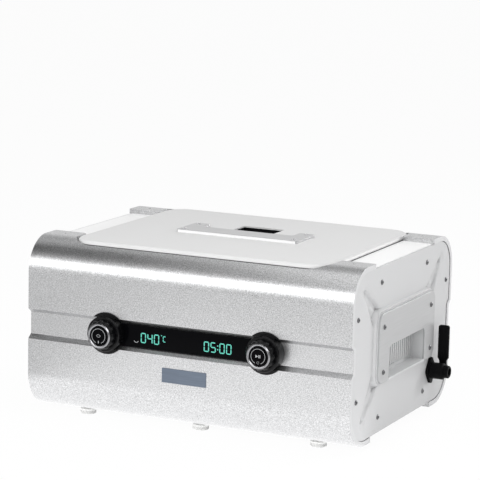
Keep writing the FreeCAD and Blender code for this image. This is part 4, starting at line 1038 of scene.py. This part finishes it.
@dataclass(frozen=True)
class Display:
    """Dark window in the band with lit digits behind its face."""

    digit_wide: float = 7.6 * MM
    digit_high: float = 13.4 * MM
    digit_pitch: float = 9.5 * MM
    stroke: float = 1.4 * MM
    bar_gap: float = 0.12 * MM
    sunk: float = 0.1 * MM
    lift: float = 0.03 * MM
    wing: float = 22 * MM
    wing_overlap: float = 0.2 * MM
    sign_left: float = 71.8 * MM
    sign_drop: float = 5.2 * MM
    sign_radius: float = 3.2 * MM
    sign_width: float = 0.7 * MM
    sign_start: float = math.pi * 1.12
    sign_sweep: float = math.pi * 0.76

    # the bars of each digit, lettered clockwise from the top, with the middle one last
    SEGMENTS = {"0": "abcdef", "4": "fgbc", "5": "afgcd", "C": "afed"}
    # digits, left edge and level from the window's middle in millimetres, and scale
    TEXTS = (
        ("040", -65.3, -1.5, 1.0), ("C", -33.4, 0.2, 0.6), ("05", 25.0, -2.3, 1.0), ("00", 47.0, -2.3, 1.0),
    )
    # place from the window's middle, and radius, in millimetres
    DOTS = ((-35.4, 4.6, 0.75), (44.7, -4.4, 0.85), (44.7, 0.4, 0.85))

    def build(self) -> None:
        """Build the window, its ends behind the knobs, and what lights up in it."""
        refined("display_window", Look.GLOSS_BLACK, 0.2 * MM)
        refined("badge_plate", Look.BADGE, 0.1 * MM)
        low, high = map(Vector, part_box("display_window"))
        centre, half = (low + high) / 2, (high - low) / 2
        wings = Piece("display_wings", on(FACING_FRONT, centre.x, high.y, centre.z))
        for sign in (-1, 1):
            near, far = sign * (half.x - self.wing_overlap), sign * (half.x + self.wing)
            outline = [(near, -half.z), (far, -half.z), (far, half.z), (near, half.z)]
            wings.prism(outline[::sign], 0, 2 * half.y - self.sunk)
        settle(wings.done(Look.GLOSS_BLACK), "case", "black_gloss")
        piece = Piece("display_digits", on(FACING_FRONT, centre.x, low.y, centre.z))
        for text, left, level, scale in self.TEXTS:
            self.text(piece, text, left * MM, level * MM, scale)
        for left, level, radius in self.DOTS:
            dot = [(x + left * MM, y + level * MM) for x, y in circle_points(radius * MM, 10)]
            piece.prism(dot, -self.sunk, self.lift)
        settle(piece.done(Look.TEAL), "case", "white_plastic")
        place = on(FACING_FRONT, centre.x - self.sign_left, low.y, centre.z - self.sign_drop)
        tray = Piece("display_sign", place)
        tray.arc_band(self.sign_radius, self.sign_width, -self.sunk, self.lift,
                      self.sign_start, self.sign_sweep)
        settle(tray.done(Look.MARK), "case", "white_plastic")

    def text(self, piece: Piece, text: str, left: float, level: float, scale: float) -> None:
        """Add digits made of bars.

        Args:
            piece: the piece that takes the bars.
            text: the digits.
            left: the first digit's left edge.
            level: the height of the digits' middle.
            scale: the digits' size against the full one.
        """
        wide, high, stroke = self.digit_wide * scale, self.digit_high * scale, self.stroke * scale**0.5
        w, h = (wide - stroke) / 2, (high - stroke) / 2
        ends = {
            "a": ((-w, h), (w, h)), "b": ((w, h), (w, 0)), "c": ((w, 0), (w, -h)), "d": ((-w, -h), (w, -h)),
            "e": ((-w, -h), (-w, 0)), "f": ((-w, 0), (-w, h)), "g": ((-w, 0), (w, 0)),
        }
        for index, letter in enumerate(text):
            middle = left + wide / 2 + index * self.digit_pitch
            for bar in self.SEGMENTS[letter]:
                a, b = map(Vector, ends[bar])
                gap = (b - a).normalized() * self.bar_gap
                points = bar_points(tuple(a + gap), tuple(b - gap), stroke)
                piece.prism([(x + middle, y + level) for x, y in points], -self.sunk, self.lift)


@dataclass(frozen=True)
class Drain:
    """Drain valve and lever on the right side."""

    def build(self) -> None:
        """Build the drain."""
        refined("valve_body", Look.MATT_BLACK, 0.4 * MM)
        refined("valve_lever", Look.MATT_BLACK, 0.5 * MM)
        refined("valve_ball", Look.STEEL, 0.0)
        dressed("drain_pipe", Look.STEEL)


@dataclass(frozen=True)
class Works:
    """Tank, basket, drive and the pieces at the back."""

    FINE = {
        "tank": Look.STEEL, "tank_seal": Look.RUBBER, "basket": Look.STEEL, "basket_grips": Look.MATT_BLACK,
        "fan_frame": Look.MATT_BLACK, "fan_rotor": Look.MATT_BLACK, "inlet_socket": Look.MATT_BLACK,
        "switch_frame": Look.MATT_BLACK, "power_rocker": Look.MATT_BLACK, "fuse_holder": Look.MATT_BLACK,
    }
    PLAIN = {
        "left_brackets": Look.CAST, "right_brackets": Look.CAST, "display_board": Look.BOARD,
        "left_encoder": Look.STEEL, "right_encoder": Look.STEEL, "transducer_horns": Look.CAST,
        "transducer_ceramics": Look.CERAMIC, "transducer_back_masses": Look.STEEL,
        "heater_pads": Look.HEATER, "power_supply": Look.CAST, "generator_board": Look.BOARD,
    }

    def build(self) -> None:
        """Build the works."""
        for node, look in self.FINE.items():
            refined(node, look, 0.3 * MM)
        for node, look in self.PLAIN.items():
            dressed(node, look)


# ---------------------------------------------------------------- camera and stage


@dataclass(frozen=True)
class Camera:
    """The viewpoint, given from the middle of the case on the bench."""

    place: tuple[float, float, float] = (1.24856, -2.68791, 0.75733)
    yaw: float = -0.43889
    pitch: float = -0.17519
    roll: float = 0.02278
    lens: float = 170.116
    sensor: float = 36.0
    reach: float = 50.0

    def build(self) -> None:
        """Create the camera and make it the scene's."""
        flat = Vector((math.sin(self.yaw), math.cos(self.yaw), 0)) * math.cos(self.pitch)
        forward = flat + Vector((0, 0, math.sin(self.pitch)))
        right = Vector((math.cos(self.yaw), -math.sin(self.yaw), 0))
        up = right.cross(forward)
        level = right * math.cos(self.roll) + up * math.sin(self.roll)
        upright = up * math.cos(self.roll) - right * math.sin(self.roll)
        turn = Matrix((level, upright, -forward)).transposed().to_4x4()
        data = bpy.data.cameras.new("camera")
        data.lens = self.lens
        data.sensor_width = self.sensor
        data.clip_end = self.reach
        made = shown_object("camera", data)
        made.matrix_world = Matrix.Translation(self.place) @ turn
        bpy.context.scene.camera = made


@dataclass(frozen=True)
class Lamp:
    """A rectangular soft lamp aimed at a point."""

    name: str
    place: tuple[float, float, float]
    target: tuple[float, float, float]
    size: Point2
    power: float

    def build(self) -> None:
        """Create the lamp."""
        data = bpy.data.lights.new(self.name, "AREA")
        data.shape = "RECTANGLE"
        data.size, data.size_y = self.size
        data.energy = self.power
        made = shown_object(self.name, data)
        made.location = self.place
        aim = Vector(self.target) - Vector(self.place)
        made.rotation_euler = aim.to_track_quat("-Z", "Y").to_euler()
        made.visible_camera = False


@dataclass(frozen=True)
class Stage:
    """White floor, pale room with a dim ceiling, and soft lamps."""

    floor_half: float = 12.0
    floor_white: float = 0.96
    floor_base: float = 0.93
    room_light: float = 0.26
    ceiling: float = 0.06
    walls_end: float = 0.45
    ceiling_start: float = 0.78
    behind: float = 0.50
    behind_fade: float = 0.3
    lamps: tuple[Lamp, ...] = (
        Lamp("front", (-0.4, -1.9, 0.98), (-0.4, 0, 0.2), (3.2, 0.68), 30.0),
        Lamp("canopy", (0.7, -0.6, 1.5), (0.7, -0.6, 0), (2.4, 1.6), 17.0),
        Lamp("zenith", (0.1, 0.35, 1.5), (0.1, 0.35, 0), (3.0, 0.9), 5.0),
        Lamp("side", (1.5, 1.9, 0.8), (0.23, 0, 0.12), (0.7, 0.7), 26.0),
        Lamp("low", (0.35, -0.38, 0.004), (0.35, -0.38, 1.0), (1.3, 0.56), 1.5),
    )

    def build(self) -> None:
        """Create the floor, the world and the lamps."""
        self.floor()
        self.world()
        for lamp in self.lamps:
            lamp.build()
        bpy.context.scene.view_settings.view_transform = "Standard"

    def blend(self, graph: Graph, share: float, lit: bpy.types.Node, shown: bpy.types.Node) -> None:
        """End a graph in one shader for light, and another for rays that show the background.

        Args:
            graph: the graph.
            share: how much of the second shader the camera and reflections see.
            lit: the shader that lights the object and takes its shadow.
            shown: the shader that is seen.
        """
        path = graph.node("ShaderNodeLightPath").outputs
        rays = [Wire(graph, path[f"Is {kind} Ray"]) for kind in ("Camera", "Glossy", "Transmission")]
        values = {0: (rays[0] + rays[1] + rays[2]) * share, 1: lit.outputs[0], 2: shown.outputs[0]}
        mix = graph.node("ShaderNodeMixShader", None, values)
        graph.feed(graph.output.inputs[0], mix.outputs[0])

    def floor(self) -> None:
        """A large floor that is nearly white to the eye and keeps the object's soft shadow."""
        mesh = bmesh.new()
        bmesh.ops.create_grid(mesh, x_segments=1, y_segments=1, size=self.floor_half)
        data = bpy.data.meshes.new("floor")
        mesh.to_mesh(data)
        mesh.free()
        made = shown_object("floor", data)
        graph = Graph("floor_white")
        graph.set(Base_Color=grey(self.floor_base), Roughness=0.8, Specular_IOR_Level=0.0)
        white = graph.node("ShaderNodeEmission", None, {"Color": grey(1.0), "Strength": 1.0})
        self.blend(graph, self.floor_white, graph.surface, white)
        data.materials.append(graph.material)

    def world(self) -> None:
        """An even pale room for light; in the camera and in metal, white walls under a dim ceiling."""
        world = bpy.data.worlds.new("studio")
        bpy.context.scene.world = world
        world.use_nodes = True
        graph = Graph("studio_nodes", world.node_tree)
        way = graph.node("ShaderNodeTexCoord").outputs["Generated"]
        split = graph.node("ShaderNodeSeparateXYZ", None, {0: way}).outputs
        across, up = Wire(graph, split["Y"]), Wire(graph, split["Z"])
        level = up.ramp(self.walls_end, self.ceiling_start, 1.0, self.ceiling)
        level = level * across.ramp(-self.behind_fade, self.behind_fade, self.behind, 1.0)
        room = graph.node("ShaderNodeBackground", None, {0: grey(1.0), 1: self.room_light})
        walls = graph.node("ShaderNodeBackground", None, {0: grey(1.0), 1: level})
        self.blend(graph, 1.0, room, walls)


FRAME: dict = {}
SLOTS: dict[str, str] = {}


def main() -> None:
    """Load the frame, build every sub-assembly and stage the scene."""
    logging.basicConfig(level=logging.INFO, format="%(name)s: %(message)s")
    FRAME.update(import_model())
    SLOTS.update({part["node"]: part["material_slot"] for part in FRAME["record"]["subparts"]})
    scatter, screws = Scatter(), Fasteners()
    Case().build(scatter, screws)
    Lid().build(scatter, screws)
    Knob("left", Mark.HEAT).build()
    Knob("right", Mark.RUN).build()
    Display().build()
    Drain().build()
    Works().build()
    Camera().build()
    Stage().build()


if __name__ == "__main__":
    main()
